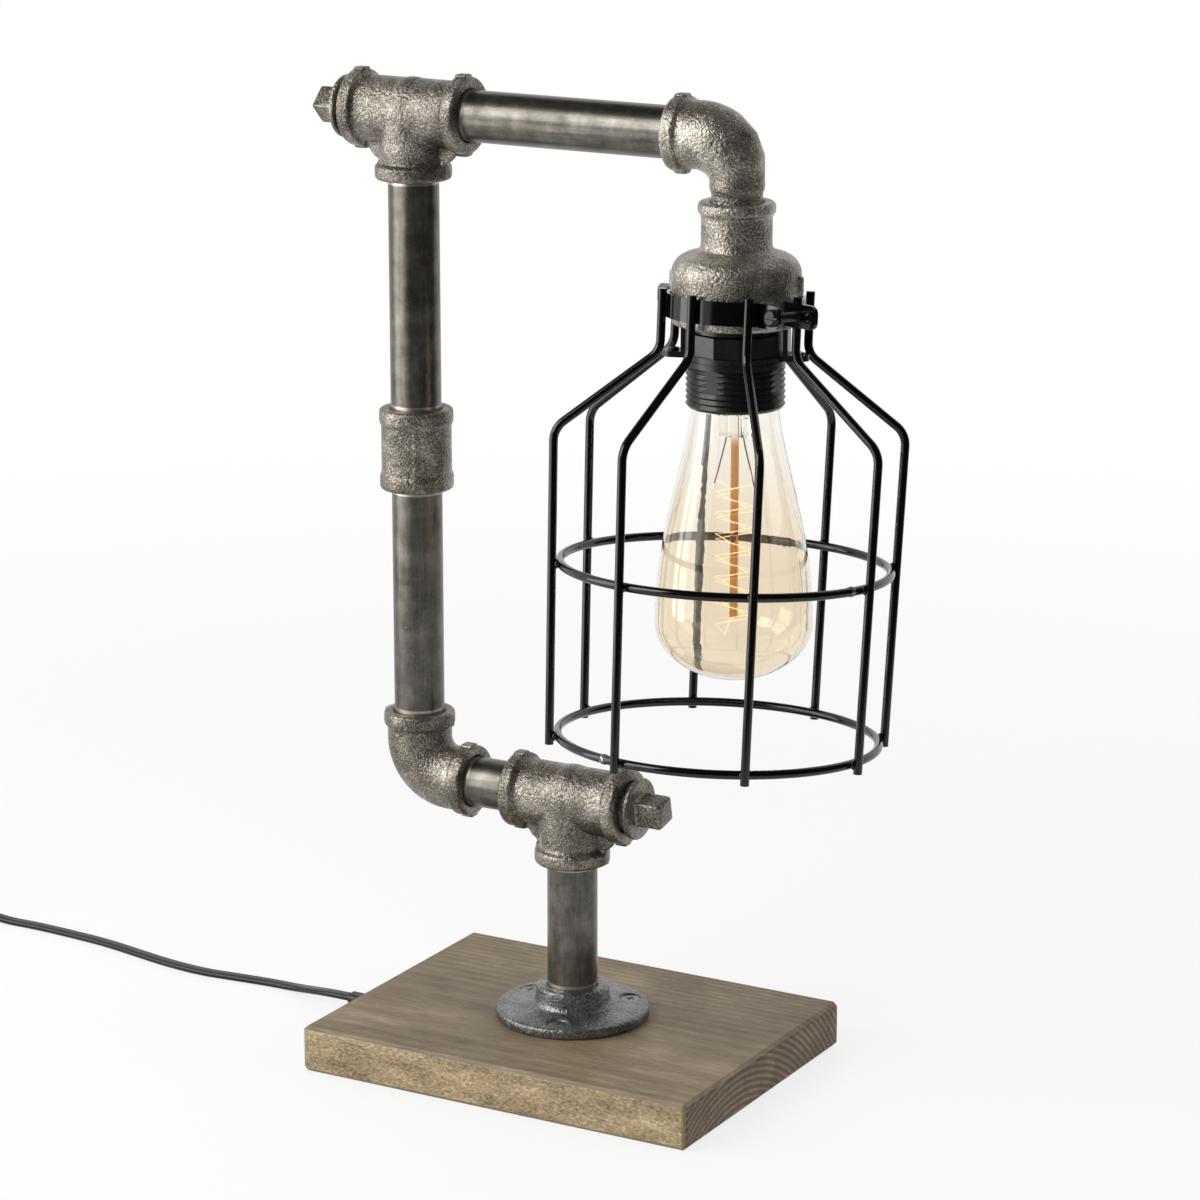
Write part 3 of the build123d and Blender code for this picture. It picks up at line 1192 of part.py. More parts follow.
def nodes():
    """Every piece by its node name."""
    coupling_low = COUPLING_MID_Z - COUPLING_LENGTH / 2
    coupling_high = COUPLING_MID_Z + COUPLING_LENGTH / 2
    return {
        "base_board": base_board(),
        "floor_flange": floor_flange(),
        "flange_screws": flange_screws(),
        "bottom_cover": bottom_cover(),
        "cover_screws": cover_screws(),
        "cord_clamp": cord_clamp(),
        "clamp_screws": clamp_screws(),
        "riser_pipe": pipe_along_z(FLANGE_TOP_Z, LOWER_RUN_Z - FACE_REACH),
        "lower_tee": Pos(0, 0, LOWER_RUN_Z) * tee(),
        "lower_plug": Pos(FACE_REACH, 0, LOWER_RUN_Z) * ALONG["+X"] * plug(LOWER_PLUG_TURN),
        "lower_nipple": pipe_along_x(POST_X + FACE_REACH, -FACE_REACH, LOWER_RUN_Z),
        "lower_elbow": Pos(POST_X, 0, LOWER_RUN_Z) * elbow(),
        "lower_post_pipe": Pos(POST_X, 0, 0) * pipe_along_z(LOWER_RUN_Z + FACE_REACH, coupling_low),
        "post_coupling": Pos(POST_X, 0, COUPLING_MID_Z) * coupling(),
        "upper_post_pipe": Pos(POST_X, 0, 0) * pipe_along_z(coupling_high, ARM_Z - FACE_REACH),
        "upper_tee": Pos(POST_X, 0, ARM_Z) * tee(),
        "upper_plug": Pos(POST_X - FACE_REACH, 0, ARM_Z) * ALONG["-X"] * plug(UPPER_PLUG_TURN),
        "arm_pipe": pipe_along_x(POST_X + FACE_REACH, DROP_X - FACE_REACH, ARM_Z),
        "street_elbow": on_head(Pos(0, 0, ARM_Z) * street_elbow()),
        "bell_reducer": on_head(bell_reducer()),
        "clamp_front": on_clamp(clamp_half(0)),
        "clamp_back": on_clamp(clamp_half(180)),
        "strap_screws": on_clamp(strap_screws()),
        "strap_nuts": on_clamp(strap_nuts()),
        "cage_wires": on_clamp(cage_wires()),
        "middle_ring": on_clamp(cage_ring(MIDDLE_RING_Z)),
        "bottom_ring": on_clamp(cage_ring(BOTTOM_RING_Z)),
        "ledge_washer": on_head(ledge_washer()),
        "nipple_nut": on_head(nipple_nut()),
        "holder_nipple": on_head(holder_nipple()),
        "holder_cap": on_head(holder_cap()),
        "holder_bracket": on_head(holder_bracket()),
        "holder_body": on_head(holder_body()),
        "holder_insert": on_head(holder_insert()),
        "shell_contact": on_head(shell_contact()),
        "centre_contact": on_head(centre_contact()),
        "terminal_screws": on_head(terminal_screws()),
        "bulb_glass": on_head(bulb_glass()),
        "bulb_cap": on_head(bulb_cap()),
        "bulb_insulator": on_head(bulb_insulator()),
        "bulb_tip": on_head(bulb_tip()),
        "bulb_stem": on_head(bulb_stem()),
        "bulb_leads": on_head(bulb_leads()),
        "bulb_filament": on_head(filament()),
        "flex_lower": flex_lower(),
        "flex_arm": flex_arm(),
        "flex_head": on_head(flex_head()),
        "flex_entry": flex_entry(),
        "strain_relief": strain_relief(),
        "flex_free": flex_free(),
        "flex_coil": flex_coil(),
        "cord_tie": cord_tie(),
        "switch_lower": switch_lower(),
        "switch_upper": switch_upper(),
        "switch_rocker": switch_rocker(),
        "switch_contacts": switch_contacts(),
        "plug_body": plug_body(),
        "plug_pins": plug_pins(),
    }


for node, shape in nodes().items():
    shape.label = node
    export_step(shape, f"parts/{node}.step")
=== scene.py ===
# %% [markdown]
# # A table lamp built from pipe fittings
#
# The real lamp is a plank of stained pine, a frame of threaded steel pipe with cast iron
# fittings, and a black wire cage round a pear-shaped filament bulb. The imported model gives
# every piece at its true size and place, so this lesson is about looks: cast skins, mill
# scale, wood grain, glass, and the flex on the table.

import json
from math import atan2, cos, degrees, pi, radians, sin, tan

import bpy
from mathutils import Matrix, Vector

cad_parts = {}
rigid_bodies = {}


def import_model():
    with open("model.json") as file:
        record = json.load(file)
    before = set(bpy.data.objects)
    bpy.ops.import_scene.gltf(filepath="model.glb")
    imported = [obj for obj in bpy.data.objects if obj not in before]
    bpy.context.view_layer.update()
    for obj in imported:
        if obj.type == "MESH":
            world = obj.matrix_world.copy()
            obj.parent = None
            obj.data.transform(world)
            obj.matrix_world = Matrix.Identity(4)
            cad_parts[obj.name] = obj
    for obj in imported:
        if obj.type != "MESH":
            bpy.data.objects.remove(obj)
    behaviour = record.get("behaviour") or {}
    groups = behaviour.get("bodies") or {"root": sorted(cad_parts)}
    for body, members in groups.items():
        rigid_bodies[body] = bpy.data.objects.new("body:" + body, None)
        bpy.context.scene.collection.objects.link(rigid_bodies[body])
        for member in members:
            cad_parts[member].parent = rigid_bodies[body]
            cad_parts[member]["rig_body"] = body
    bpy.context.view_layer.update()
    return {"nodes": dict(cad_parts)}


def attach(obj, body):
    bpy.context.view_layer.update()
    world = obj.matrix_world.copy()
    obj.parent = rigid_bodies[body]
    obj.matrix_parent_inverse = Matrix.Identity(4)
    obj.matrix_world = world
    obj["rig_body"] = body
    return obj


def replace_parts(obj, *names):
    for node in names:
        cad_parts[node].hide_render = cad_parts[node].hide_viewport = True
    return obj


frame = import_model()
nodes = frame["nodes"]
print("nodes loaded:", len(nodes))

# %% [markdown]
# Everything is in metres, and millimetres are easier to think in, so `MM` turns one into
# the other. Operators act on whatever is selected. `only` therefore clears the selection
# first, and then picks just the objects it is given.

# %% Small helpers for selection
MM = 0.001


def only(*objects):
    """Select these objects alone and make the first one active."""
    bpy.ops.object.select_all(action="DESELECT")
    for obj in objects:
        obj.select_set(True)
    bpy.context.view_layer.objects.active = objects[0]


def apply_modifiers(obj):
    """Make every modifier of an object part of its mesh."""
    only(obj)
    for modifier in list(obj.modifiers):
        bpy.ops.object.modifier_apply(modifier=modifier.name)


def settle(obj):
    """Put an object's place, turn and scale into its mesh."""
    only(obj)
    bpy.ops.object.transform_apply(location=True, rotation=True, scale=True)


# %% [markdown]
# ## Camera
#
# A product photographer stands back and uses a long lens, which keeps upright pipes
# upright. The place and the lens below were solved from the pipe widths and the plank's
# corners in the photograph. The three directions are the picture's right, its up, and the
# way back from the lamp to the camera.

# %% Set the camera
camera_data = bpy.data.cameras.new("camera")
camera = bpy.data.objects.new("camera", camera_data)
bpy.context.scene.collection.objects.link(camera)
picture_right = Vector((0.8705, 0.4922, 0.0))
picture_up = Vector((-0.1261, 0.2232, 0.9666))
picture_back = Vector((0.47577, -0.84138, 0.25637))
camera_place = Vector((0.826765, -1.438630, 0.642240))
camera_turn = Matrix((picture_right, picture_up, picture_back)).transposed().to_4x4()
camera.matrix_world = Matrix.Translation(camera_place) @ camera_turn
camera_data.sensor_width = 36.0
camera_data.lens = 124.236
camera_data.clip_start = 0.05
bpy.context.scene.camera = camera
print("camera distance to the origin:", round(camera.location.length, 3))

# %% [markdown]
# ## The flex on the table
#
# The lead is flat twin flex: two cores side by side in one black sheath, with a shallow
# groove between them. It leaves the plank through its strain relief, drops to the table
# and runs off to the left. Past the picture's edge it goes through a switch and is wound
# into a tied coil, on edge, in two layers.
#
# One smooth curve carries all of it. Its control points are the route's own corners, and
# the coil's come from a formula: each half turn is a little smaller than the one before,
# until the flex climbs to the upper layer and winds out again. All places are in mm.

# %% The route of the flex
free_route = [
    (-112.0, 0.0, 7.0), (-121.0, 0.0, 7.0), (-133.0, 3.8, 5.0), (-146.0, 9.0, 2.2),
    (-161.0, 10.2, 1.6), (-180.0, 8.4, 1.6), (-196.0, 6.7, 1.6), (-215.8, 8.6, 1.6),
    (-231.5, 11.7, 1.6), (-255.6, 16.9, 1.6), (-277.7, 18.9, 1.6), (-300.0, 20.2, 1.6),
    (-318.0, 19.3, 1.6), (-336.0, 17.6, 6.0), (-352.0, 17.6, 6.0),
]
COIL_X, COIL_TOP_Y, COIL_RADIUS, COIL_STEP = -455.0, 17.6, 35.0, 1.85
LOW_Z, HIGH_Z, SWITCH_Z, PLUG_Z = 3.8, 9.7, 6.0, 6.85
HALF_TURNS, POINTS_PER_HALF_TURN = 8, 8


def coil_route():
    """Control points of the coil, and the y at which it ends.

    The innermost half turn is the last of the lower layer and climbs to the upper one. The
    points stand a little outside the arc, since the curve cuts their corners."""
    radii = [COIL_RADIUS - COIL_STEP * n for n in range(HALF_TURNS)]
    radii = radii + radii[-2::-1]
    innermost = HALF_TURNS - 1
    outward = 1 / cos(pi / POINTS_PER_HALF_TURN / 2)
    points = []
    y, side = COIL_TOP_Y, -1
    for number, radius in enumerate(radii):
        z0 = LOW_Z if number <= innermost else HIGH_Z
        z1 = LOW_Z if number < innermost else HIGH_Z
        middle = y + side * radius
        for step in range(POINTS_PER_HALF_TURN):
            share = (step + 0.5) / POINTS_PER_HALF_TURN
            angle = pi * share
            points.append((COIL_X + side * radius * outward * sin(angle),
                           middle - side * radius * outward * cos(angle),
                           z0 + (z1 - z0) * share))
        y, side = y + side * 2 * radius, -side
    return points, y


coil_points, coil_end_y = coil_route()
to_coil = [(x, COIL_TOP_Y, SWITCH_Z) for x in (-368.0, -398.0, -414.0, -424.0)]
to_coil.append((-442.0, COIL_TOP_Y, LOW_Z))
to_plug = [(-443.0, coil_end_y, HIGH_Z), (-421.0, coil_end_y, PLUG_Z),
           (-409.0, coil_end_y, PLUG_Z)]
print("coil points:", len(coil_points), "coil ends at y", round(coil_end_y, 2))

# %% [markdown]
# The section is drawn once as a flat outline, two lobes with a waist, and the curve is
# given that outline as its bevel. With the twist set to Z Up a tilt of zero lays the flex
# flat. A quarter turn of tilt stands it on edge, and the twist from one to the other
# happens inside the switch.

# %% Draw the flex
FLEX_WIDTH, FLEX_THICK = 5.4, 2.8
LOBE_END, LOBE_STEPS, WAIST = 78, 8, 0.78


def flex_section(width, thick):
    """Flat twin outline in mm, which the radius of the flex's points brings to size.

    Each lobe is an arc from -LOBE_END to LOBE_END degrees, and WAIST is the waist's share
    of the lobe's radius. Blender counts the points' radius, 1 m by default, into a curve's
    bounding box, so it is kept at 1 mm."""
    lobe = thick / 2
    reach = width / 2 - lobe
    outline = []
    for step in range(LOBE_STEPS + 1):
        angle = radians(-LOBE_END + 2 * LOBE_END * step / LOBE_STEPS)
        outline.append((reach + lobe * cos(angle), lobe * sin(angle)))
    right_lobe = list(outline)
    outline.append((0.0, lobe * WAIST))
    outline += [(-x, y) for x, y in reversed(right_lobe)]
    outline.append((0.0, -lobe * WAIST))
    data = bpy.data.curves.new("flex_section", "CURVE")
    data.dimensions = "2D"
    spline = data.splines.new("POLY")
    spline.points.add(len(outline) - 1)
    for point, (x, y) in zip(spline.points, outline):
        point.co = (x, y, 0, 1)
    spline.use_cyclic_u = True
    return data


route = free_route + to_coil + coil_points + to_plug
on_edge_from = len(free_route) + 1
flex_data = bpy.data.curves.new("flex", "CURVE")
flex_data.dimensions = "3D"
flex_data.twist_mode = "Z_UP"
flex_data.resolution_u = 6
flex_data.use_fill_caps = True
flex_spline = flex_data.splines.new("NURBS")
flex_spline.points.add(len(route) - 1)
for number, (point, (x, y, z)) in enumerate(zip(flex_spline.points, route)):
    point.co = (x * MM, y * MM, z * MM, 1)
    point.tilt = pi / 2 if number >= on_edge_from else 0.0
    point.radius = MM
flex_spline.order_u = 3
flex_spline.use_endpoint_u = True
flex = bpy.data.objects.new("flex", flex_data)
bpy.context.scene.collection.objects.link(flex)
flex_data.bevel_mode = "OBJECT"
flex_data.bevel_object = bpy.data.objects.new("flex_section", flex_section(FLEX_WIDTH, FLEX_THICK))
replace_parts(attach(flex, "base"), "flex_free", "flex_coil")

# %% [markdown]
# ## Colours and shader nodes
#
# A hex colour is written as the eye sees it, in sRGB. The renderer wants linear light, so
# one function turns the one into the other. Another adds a shader node, sets its values
# and plugs in its links, and that is all the plumbing the materials need.

# %% Colour and node helpers


def linear(hex_colour):
    """Linear RGBA of an sRGB hex colour."""
    channels = [int(hex_colour[i:i + 2], 16) / 255 for i in (1, 3, 5)]
    return [c / 12.92 if c <= 0.04045 else ((c + 0.055) / 1.055) ** 2.4 for c in channels] + [1.0]


def add_node(material, kind, settings=None, **inputs):
    """Add a shader node. settings are its properties, inputs its sockets by name, with
    spaces written as underscores, or by number as in0, in1 and so on. Each input is a value
    or another node's output."""
    node = material.node_tree.nodes.new(kind)
    for key, value in (settings or {}).items():
        setattr(node, key, value)
    for key, value in inputs.items():
        number = key[2:] if key.startswith("in") else ""
        socket = node.inputs[int(number) if number.isdigit() else key.replace("_", " ")]
        if isinstance(value, bpy.types.NodeSocket):
            material.node_tree.links.new(value, socket)
        else:
            socket.default_value = value
    return node


def new_material(name):
    """A node material with no shader yet, and its Object coordinates in millimetres."""
    material = bpy.data.materials.new(name)
    material.use_nodes = True
    material.node_tree.nodes.clear()
    place = add_node(material, "ShaderNodeTexCoord").outputs["Object"]
    in_mm = add_node(material, "ShaderNodeVectorMath", {"operation": "SCALE"}, Vector=place,
                     Scale=1 / MM)
    return material, in_mm.outputs["Vector"]


def finish_material(material, shader):
    """Plug the last shader into the material's output."""
    add_node(material, "ShaderNodeOutputMaterial", Surface=shader.outputs[0])
    return material


def ramp(material, value, *stops):
    """A colour ramp through (position, hex colour) stops, read off at a value."""
    node = add_node(material, "ShaderNodeValToRGB", Fac=value)
    elements = node.color_ramp.elements
    while len(elements) < len(stops):
        elements.new(0.5)
    for element, (position, colour) in zip(elements, stops):
        element.position = position
        element.color = linear(colour)
    return node.outputs["Color"]


def noise(material, place, grain_mm, detail, rough, stretch=None):
    """Noise whose blobs are about grain_mm across, or drawn out along an axis by stretch."""
    if stretch:
        drawn_out = add_node(material, "ShaderNodeMapping", Vector=place, Scale=stretch)
        place = drawn_out.outputs["Vector"]
    node = add_node(material, "ShaderNodeTexNoise", Vector=place, Scale=1.0 / grain_mm,
                    Detail=detail, Roughness=rough)
    return node.outputs["Fac"]


def weighted(material, first, share, second, other):
    """first times share plus second times other."""
    part = add_node(material, "ShaderNodeMath", {"operation": "MULTIPLY"}, in0=second, in1=other)
    whole = add_node(material, "ShaderNodeMath", {"operation": "MULTIPLY_ADD"}, in0=first,
                     in1=share, in2=part.outputs[0])
    return whole.outputs[0]


def mixed(material, factor, first, second):
    """Blend of two colours, the second where the factor is 1."""
    node = add_node(material, "ShaderNodeMix", {"data_type": "RGBA"}, Factor=factor, in6=first,
                    in7=second)
    return node.outputs[2]


def wear(material, node_names):
    """Give CAD nodes or pieces one material all over."""
    for name in node_names:
        obj = nodes[name] if isinstance(name, str) else name
        obj.data.materials.clear()
        obj.data.materials.append(material)


# %% [markdown]
# ## Cast iron
#
# Malleable iron fittings are poured in sand moulds. The sand prints its grit on the skin,
# and under a clear lacquer each tiny facet throws a spark, so the surface reads as a warm
# grey-brown full of pinpoints. The grit is about 0.3 mm; it is drawn at 0.8 mm, because
# anything finer would blur away in the picture. Its high spots are raised in the relief and
# also painted brighter in the colour. That part of the tone is painted sparkle, and the soft
# clouds are the iron's own uneven tone.
# The bell reducer and the street elbow wear a paler copy of the same iron, which is painted
# light that brightens them where they sit in dimmer light. The flange is blackened.

# %% The cast iron material


def cast_iron(name, dark, middle, light, grit_mm=0.8, rough=0.33):
    """Sand-cast metal: soft tone clouds, and grit in the surface with painted sparkle on its high
    spots.
    """
    material, place = new_material(name)
    grit_and_painted_sparkle = noise(material, place, grit_mm, 2.0, 0.65)
    pebble = noise(material, place, 1.6 * grit_mm, 1.0, 0.5)
    cloud = noise(material, place, 12.0, 3.0, 0.5)
    # The grit's share of the tone paints its high spots brighter, which is painted sparkle.
    tone = weighted(material, cloud, 0.45, grit_and_painted_sparkle, 0.55)
    colour = ramp(material, tone, (0.36, dark), (0.50, middle), (0.64, light))
    gloss = add_node(material, "ShaderNodeMapRange", Value=pebble, To_Min=rough - 0.12,
                     To_Max=rough + 0.14)
    height = weighted(material, grit_and_painted_sparkle, 0.5, pebble, 0.9)
    bump = add_node(material, "ShaderNodeBump", Strength=1.0, Distance=0.5 * MM, Height=height)
    shader = add_node(material, "ShaderNodeBsdfPrincipled", Base_Color=colour, Metallic=0.72,
                      Roughness=gloss.outputs[0], Normal=bump.outputs["Normal"])
    return finish_material(material, shader)


sand_cast_iron = cast_iron("sand_cast_iron", "#3f3b36", "#6d675e", "#a8a297")
# A paler copy of the same iron: painted light for the two fittings at the lamp's right.
pale_cast_iron = cast_iron("pale_cast_iron", "#4c4842", "#827c72", "#c0baaf")
blackened_iron = cast_iron("blackened_iron", "#444546", "#646667", "#8b8c8a", 0.9, 0.24)

# %% [markdown]
# ## Mill scale
#
# Steel pipe leaves the rolling mill with a thin blue-black oxide skin. It is smooth, takes
# a soft highlight along the pipe, and is streaked lengthwise where the rolls dragged it.
# Next to each fitting the thread cutter has bared the metal, so a narrow bright ring shows
# there. Each pipe gets its own material, because the rings sit at its own two ends.

# %% The pipe material
STREAK_STRETCH = 0.06
BARE_WIDTH, SCALE_START = 1.4, 2.0


def mill_scale(name, axis, low, high):
    """Dark rolled steel along an axis (0, 1 or 2) with bright rings at low and high, in mm."""
    material, place = new_material(name)
    stretch = [1.0, 1.0, 1.0]
    stretch[axis] = STREAK_STRETCH
    streaks = noise(material, place, 1.1, 4.0, 0.6, stretch)
    cloud = noise(material, place, 11.0, 4.0, 0.65)
    specks = noise(material, place, 0.8, 1.0, 0.5)
    tone = weighted(material, streaks, 0.3, cloud, 0.7)
    colour = ramp(material, tone, (0.36, "#46443f"), (0.52, "#5f5c56"), (0.68, "#78746c"))
    rust = add_node(material, "ShaderNodeMapRange", Value=specks, From_Min=0.70, From_Max=0.76)
    colour = mixed(material, rust.outputs[0], colour, linear("#8a6f58"))
    along = add_node(material, "ShaderNodeSeparateXYZ", Vector=place).outputs[axis]
    from_low = add_node(material, "ShaderNodeMapRange", Value=along, From_Min=low + SCALE_START,
                        From_Max=low + BARE_WIDTH)
    from_high = add_node(material, "ShaderNodeMapRange", Value=along, From_Min=high - SCALE_START,
                         From_Max=high - BARE_WIDTH)
    bare = add_node(material, "ShaderNodeMath", {"operation": "MAXIMUM"}, in0=from_low.outputs[0],
                    in1=from_high.outputs[0])
    colour = mixed(material, bare.outputs[0], colour, linear("#b0a89c"))
    rough = add_node(material, "ShaderNodeMapRange", Value=cloud, To_Min=0.22, To_Max=0.38)
    bump = add_node(material, "ShaderNodeBump", Strength=0.3, Distance=0.08 * MM,
                    Height=weighted(material, streaks, 0.6, specks, 0.4))
    shader = add_node(material, "ShaderNodeBsdfPrincipled", Base_Color=colour, Metallic=0.92,
                      Roughness=rough.outputs[0], Normal=bump.outputs["Normal"])
    return finish_material(material, shader)


PIPE_ENDS = {"riser_pipe": (2, 34.0, 88.4), "lower_post_pipe": (2, 144.4, 241.3),
             "upper_post_pipe": (2, 275.9, 372.2), "lower_nipple": (0, -47.0, -28.0),
             "arm_pipe": (0, -47.0, 47.6)}
for pipe, (axis, low, high) in PIPE_ENDS.items():
    wear(mill_scale("mill_scale_" + pipe, axis, low, high), [pipe])

# %% [markdown]
# ## Stained pine
#
# The plank is softwood, flat-sawn, with a grey-brown stain wiped on. The stain sinks into
# the soft early wood and leaves the hard late wood pale, so the top shows fine lines along
# its length. At the ends the growth rings show as darker arcs. Noise drawn out along the
# plank makes the fibres, and a wave texture distorted by noise makes the rings: along the
# length its bands are nearly straight, and at the end the same rings are cut across.

# %% The pine material
pine, place = new_material("stained_pine")
ring_place = add_node(pine, "ShaderNodeMapping", Vector=place, Location=(0.0, 25.0, 62.0),
                      Scale=(0.012, 1.0, 1.0)).outputs["Vector"]
rings = add_node(pine, "ShaderNodeTexWave", {"wave_type": "RINGS", "rings_direction": "X"},
                 Vector=ring_place, Scale=0.11, Distortion=5.0, Detail=3.0, Detail_Scale=0.03,
                 Detail_Roughness=0.6).outputs["Fac"]
fibre = noise(pine, place, 0.45, 4.0, 0.75, (0.05, 1.0, 1.0))
stain = noise(pine, place, 30.0, 5.0, 0.65, (0.5, 1.0, 1.0))
pores = noise(pine, place, 0.9, 2.0, 0.5, (0.25, 1.0, 1.0))
tone = weighted(pine, fibre, 0.6, weighted(pine, rings, 0.07, stain, 0.6), 1.0)
planed = ramp(pine, tone, (0.46, "#4f412e"), (0.56, "#706048"), (0.68, "#827157"),
              (0.80, "#a69478"))
dark_pore = add_node(pine, "ShaderNodeMapRange", Value=pores, From_Min=0.66, From_Max=0.78,
                     To_Max=0.55)
planed = mixed(pine, dark_pore.outputs[0], planed, linear("#4e4130"))

# %% [markdown]
# The planed top is even, but the four narrow faces were left as the saw cut them. The saw
# tears the fibres, so the stain takes in blotches and light catches every torn one. Those
# faces get a coarser, harder mottle, found by the distance from the board's edge, and the
# two end faces get the growth rings on top of it.

# %% Sawn faces
HALF_LENGTH, HALF_DEPTH = 92.0, 69.5
FACE_START, FACE_FULL = 0.7, 0.2


def near_face(coordinate, half_size):
    """1 on the board's faces at plus and minus half_size mm, and 0 further in."""
    off_middle = add_node(pine, "ShaderNodeMath", {"operation": "ABSOLUTE"}, in0=coordinate)
    return add_node(pine, "ShaderNodeMapRange", Value=off_middle.outputs[0],
                    From_Min=half_size - FACE_START, From_Max=half_size - FACE_FULL).outputs[0]


saw_marks = noise(pine, place, 0.9, 3.0, 0.75, (0.5, 1.0, 0.9))
blotch = noise(pine, place, 14.0, 4.0, 0.7, (0.35, 1.0, 1.0))
sawn = ramp(pine, weighted(pine, saw_marks, 0.55, blotch, 0.45),
            (0.38, "#5c4c35"), (0.46, "#8a7756"), (0.54, "#a48f6b"), (0.62, "#c6b592"))
mottle = weighted(pine, saw_marks, 0.5, blotch, 0.4)
end_rings = ramp(pine, weighted(pine, rings, 0.16, mottle, 0.9),
                 (0.38, "#3c3020"), (0.50, "#604f38"), (0.58, "#7a684a"), (0.68, "#a49272"))
x_place, y_place, _ = add_node(pine, "ShaderNodeSeparateXYZ", Vector=place).outputs
pine_colour = mixed(pine, near_face(x_place, HALF_LENGTH),
                    mixed(pine, near_face(y_place, HALF_DEPTH), planed, sawn), end_rings)
pine_bump = add_node(pine, "ShaderNodeBump", Strength=0.5, Distance=0.4 * MM,
                     Height=weighted(pine, fibre, 0.5, saw_marks, 0.6))
pine_shader = add_node(pine, "ShaderNodeBsdfPrincipled", Base_Color=pine_colour, Roughness=0.55,
                       Normal=pine_bump.outputs["Normal"])
finish_material(pine, pine_shader)
wear(pine, ["base_board"])

# %% [markdown]
# ## Enamel, plastics, glass and small metals
#
# The cage is dipped in black enamel, which is a smooth glossy coat with thin sharp
# highlights. The lampholder is phenolic plastic, black but duller, with a faint mottle
# from the mould. The flex is soft PVC. The small metal pieces are zinc-plated or blackened
# steel, or brass. One function makes these plain skins, each with a gloss that is a little
# uneven and, but for the enamel, a faint relief.

# %% Plain skins


def plain_skin(name, colour, rough, metallic, grain_mm, depth_mm, vary=0.06, specular=0.5):
    """One colour, with patches of grain_mm that vary the gloss and are depth_mm deep."""
    material, place = new_material(name)
    patch = noise(material, place, grain_mm, 3.0, 0.55)
    gloss = add_node(material, "ShaderNodeMapRange", Value=patch, To_Min=rough - vary,
                     To_Max=rough + vary)
    bump = add_node(material, "ShaderNodeBump", Strength=0.4, Distance=depth_mm * MM, Height=patch)
    shader = add_node(material, "ShaderNodeBsdfPrincipled", Base_Color=linear(colour),
                      Metallic=metallic, Roughness=gloss.outputs[0], Specular_IOR_Level=specular,
                      Normal=bump.outputs["Normal"])
    return finish_material(material, shader)


black_enamel = plain_skin("black_enamel", "#070707", 0.13, 0.0, 9.0, 0.0, 0.02, 0.42)
phenolic = plain_skin("phenolic_plastic", "#0e0e0f", 0.3, 0.0, 1.4, 0.05, 0.08, 0.42)
soft_pvc = plain_skin("soft_pvc", "#090909", 0.3, 0.0, 2.0, 0.03, 0.05, 0.32)
moulded_abs = plain_skin("moulded_abs", "#111112", 0.38, 0.0, 0.9, 0.03, 0.05, 0.4)
# A darker copy of the zinc plate: painted shade for the screws sunk in the flange's holes.
zinc_with_painted_shade = plain_skin("zinc_with_painted_shade", "#8a8883", 0.36, 1.0, 1.0, 0.05)
zinc_plate = plain_skin("zinc_plate", "#b9b7b2", 0.3, 1.0, 1.0, 0.02)
blackened_steel = plain_skin("blackened_steel", "#1d1d1e", 0.3, 0.6, 1.0, 0.02)
turned_brass = plain_skin("turned_brass", "#b5904a", 0.28, 1.0, 1.5, 0.01)
bulb_metal = plain_skin("bulb_cap_metal", "#c9c5bb", 0.25, 1.0, 1.5, 0.02)
glazed_ceramic = plain_skin("glazed_ceramic", "#e4e0d6", 0.3, 0.0, 2.0, 0.02)
dark_glass = plain_skin("dark_glass", "#0c0a10", 0.1, 0.0, 2.0, 0.01, 0.03)
hardboard = plain_skin("hardboard", "#6b4a30", 0.75, 0.0, 0.8, 0.05)

wear(soft_pvc, ["flex_free", "flex_coil", "flex_entry", "flex_lower", "flex_arm", "flex_head",
                flex])
wear(black_enamel, ["clamp_front", "clamp_back", "cage_wires", "middle_ring", "bottom_ring"])
wear(phenolic, ["holder_cap", "holder_bracket", "holder_body"])
wear(moulded_abs, ["switch_lower", "switch_upper", "switch_rocker", "plug_body", "strain_relief",
                   "cord_tie", "cord_clamp"])
wear(zinc_plate, ["cover_screws", "clamp_screws", "ledge_washer", "nipple_nut",
                  "holder_nipple", "bulb_tip"])
wear(blackened_steel, ["strap_screws", "strap_nuts"])
# The flange's screws get the darker zinc, which is painted shade.
wear(zinc_with_painted_shade, ["flange_screws"])
wear(turned_brass, ["shell_contact", "centre_contact", "terminal_screws", "switch_contacts",
                    "plug_pins"])
wear(bulb_metal, ["bulb_cap"])
wear(glazed_ceramic, ["holder_insert"])
wear(dark_glass, ["bulb_insulator"])
wear(hardboard, ["bottom_cover"])

# %% [markdown]
# The bulb's glass is nearly clear and only its lower part is faintly amber. The stem inside
# is clear, and the rod that hangs from it is amber. The filament glows dimly, so its
# emission is low.

# %% Glass and the glowing filament


def tinted_glass(name, clear, tinted, clear_z, tinted_z):
    """Glass that is tinted below tinted_z and clear above clear_z, in mm."""
    material, place = new_material(name)
    height = add_node(material, "ShaderNodeSeparateXYZ", Vector=place).outputs[2]
    share = add_node(material, "ShaderNodeMapRange", Value=height, From_Min=clear_z,
                     From_Max=tinted_z)
    colour = mixed(material, share.outputs[0], linear(clear), linear(tinted))
    shader = add_node(material, "ShaderNodeBsdfPrincipled", Base_Color=colour, Roughness=0.0,
                      Transmission_Weight=1.0, IOR=1.45)
    return finish_material(material, shader)


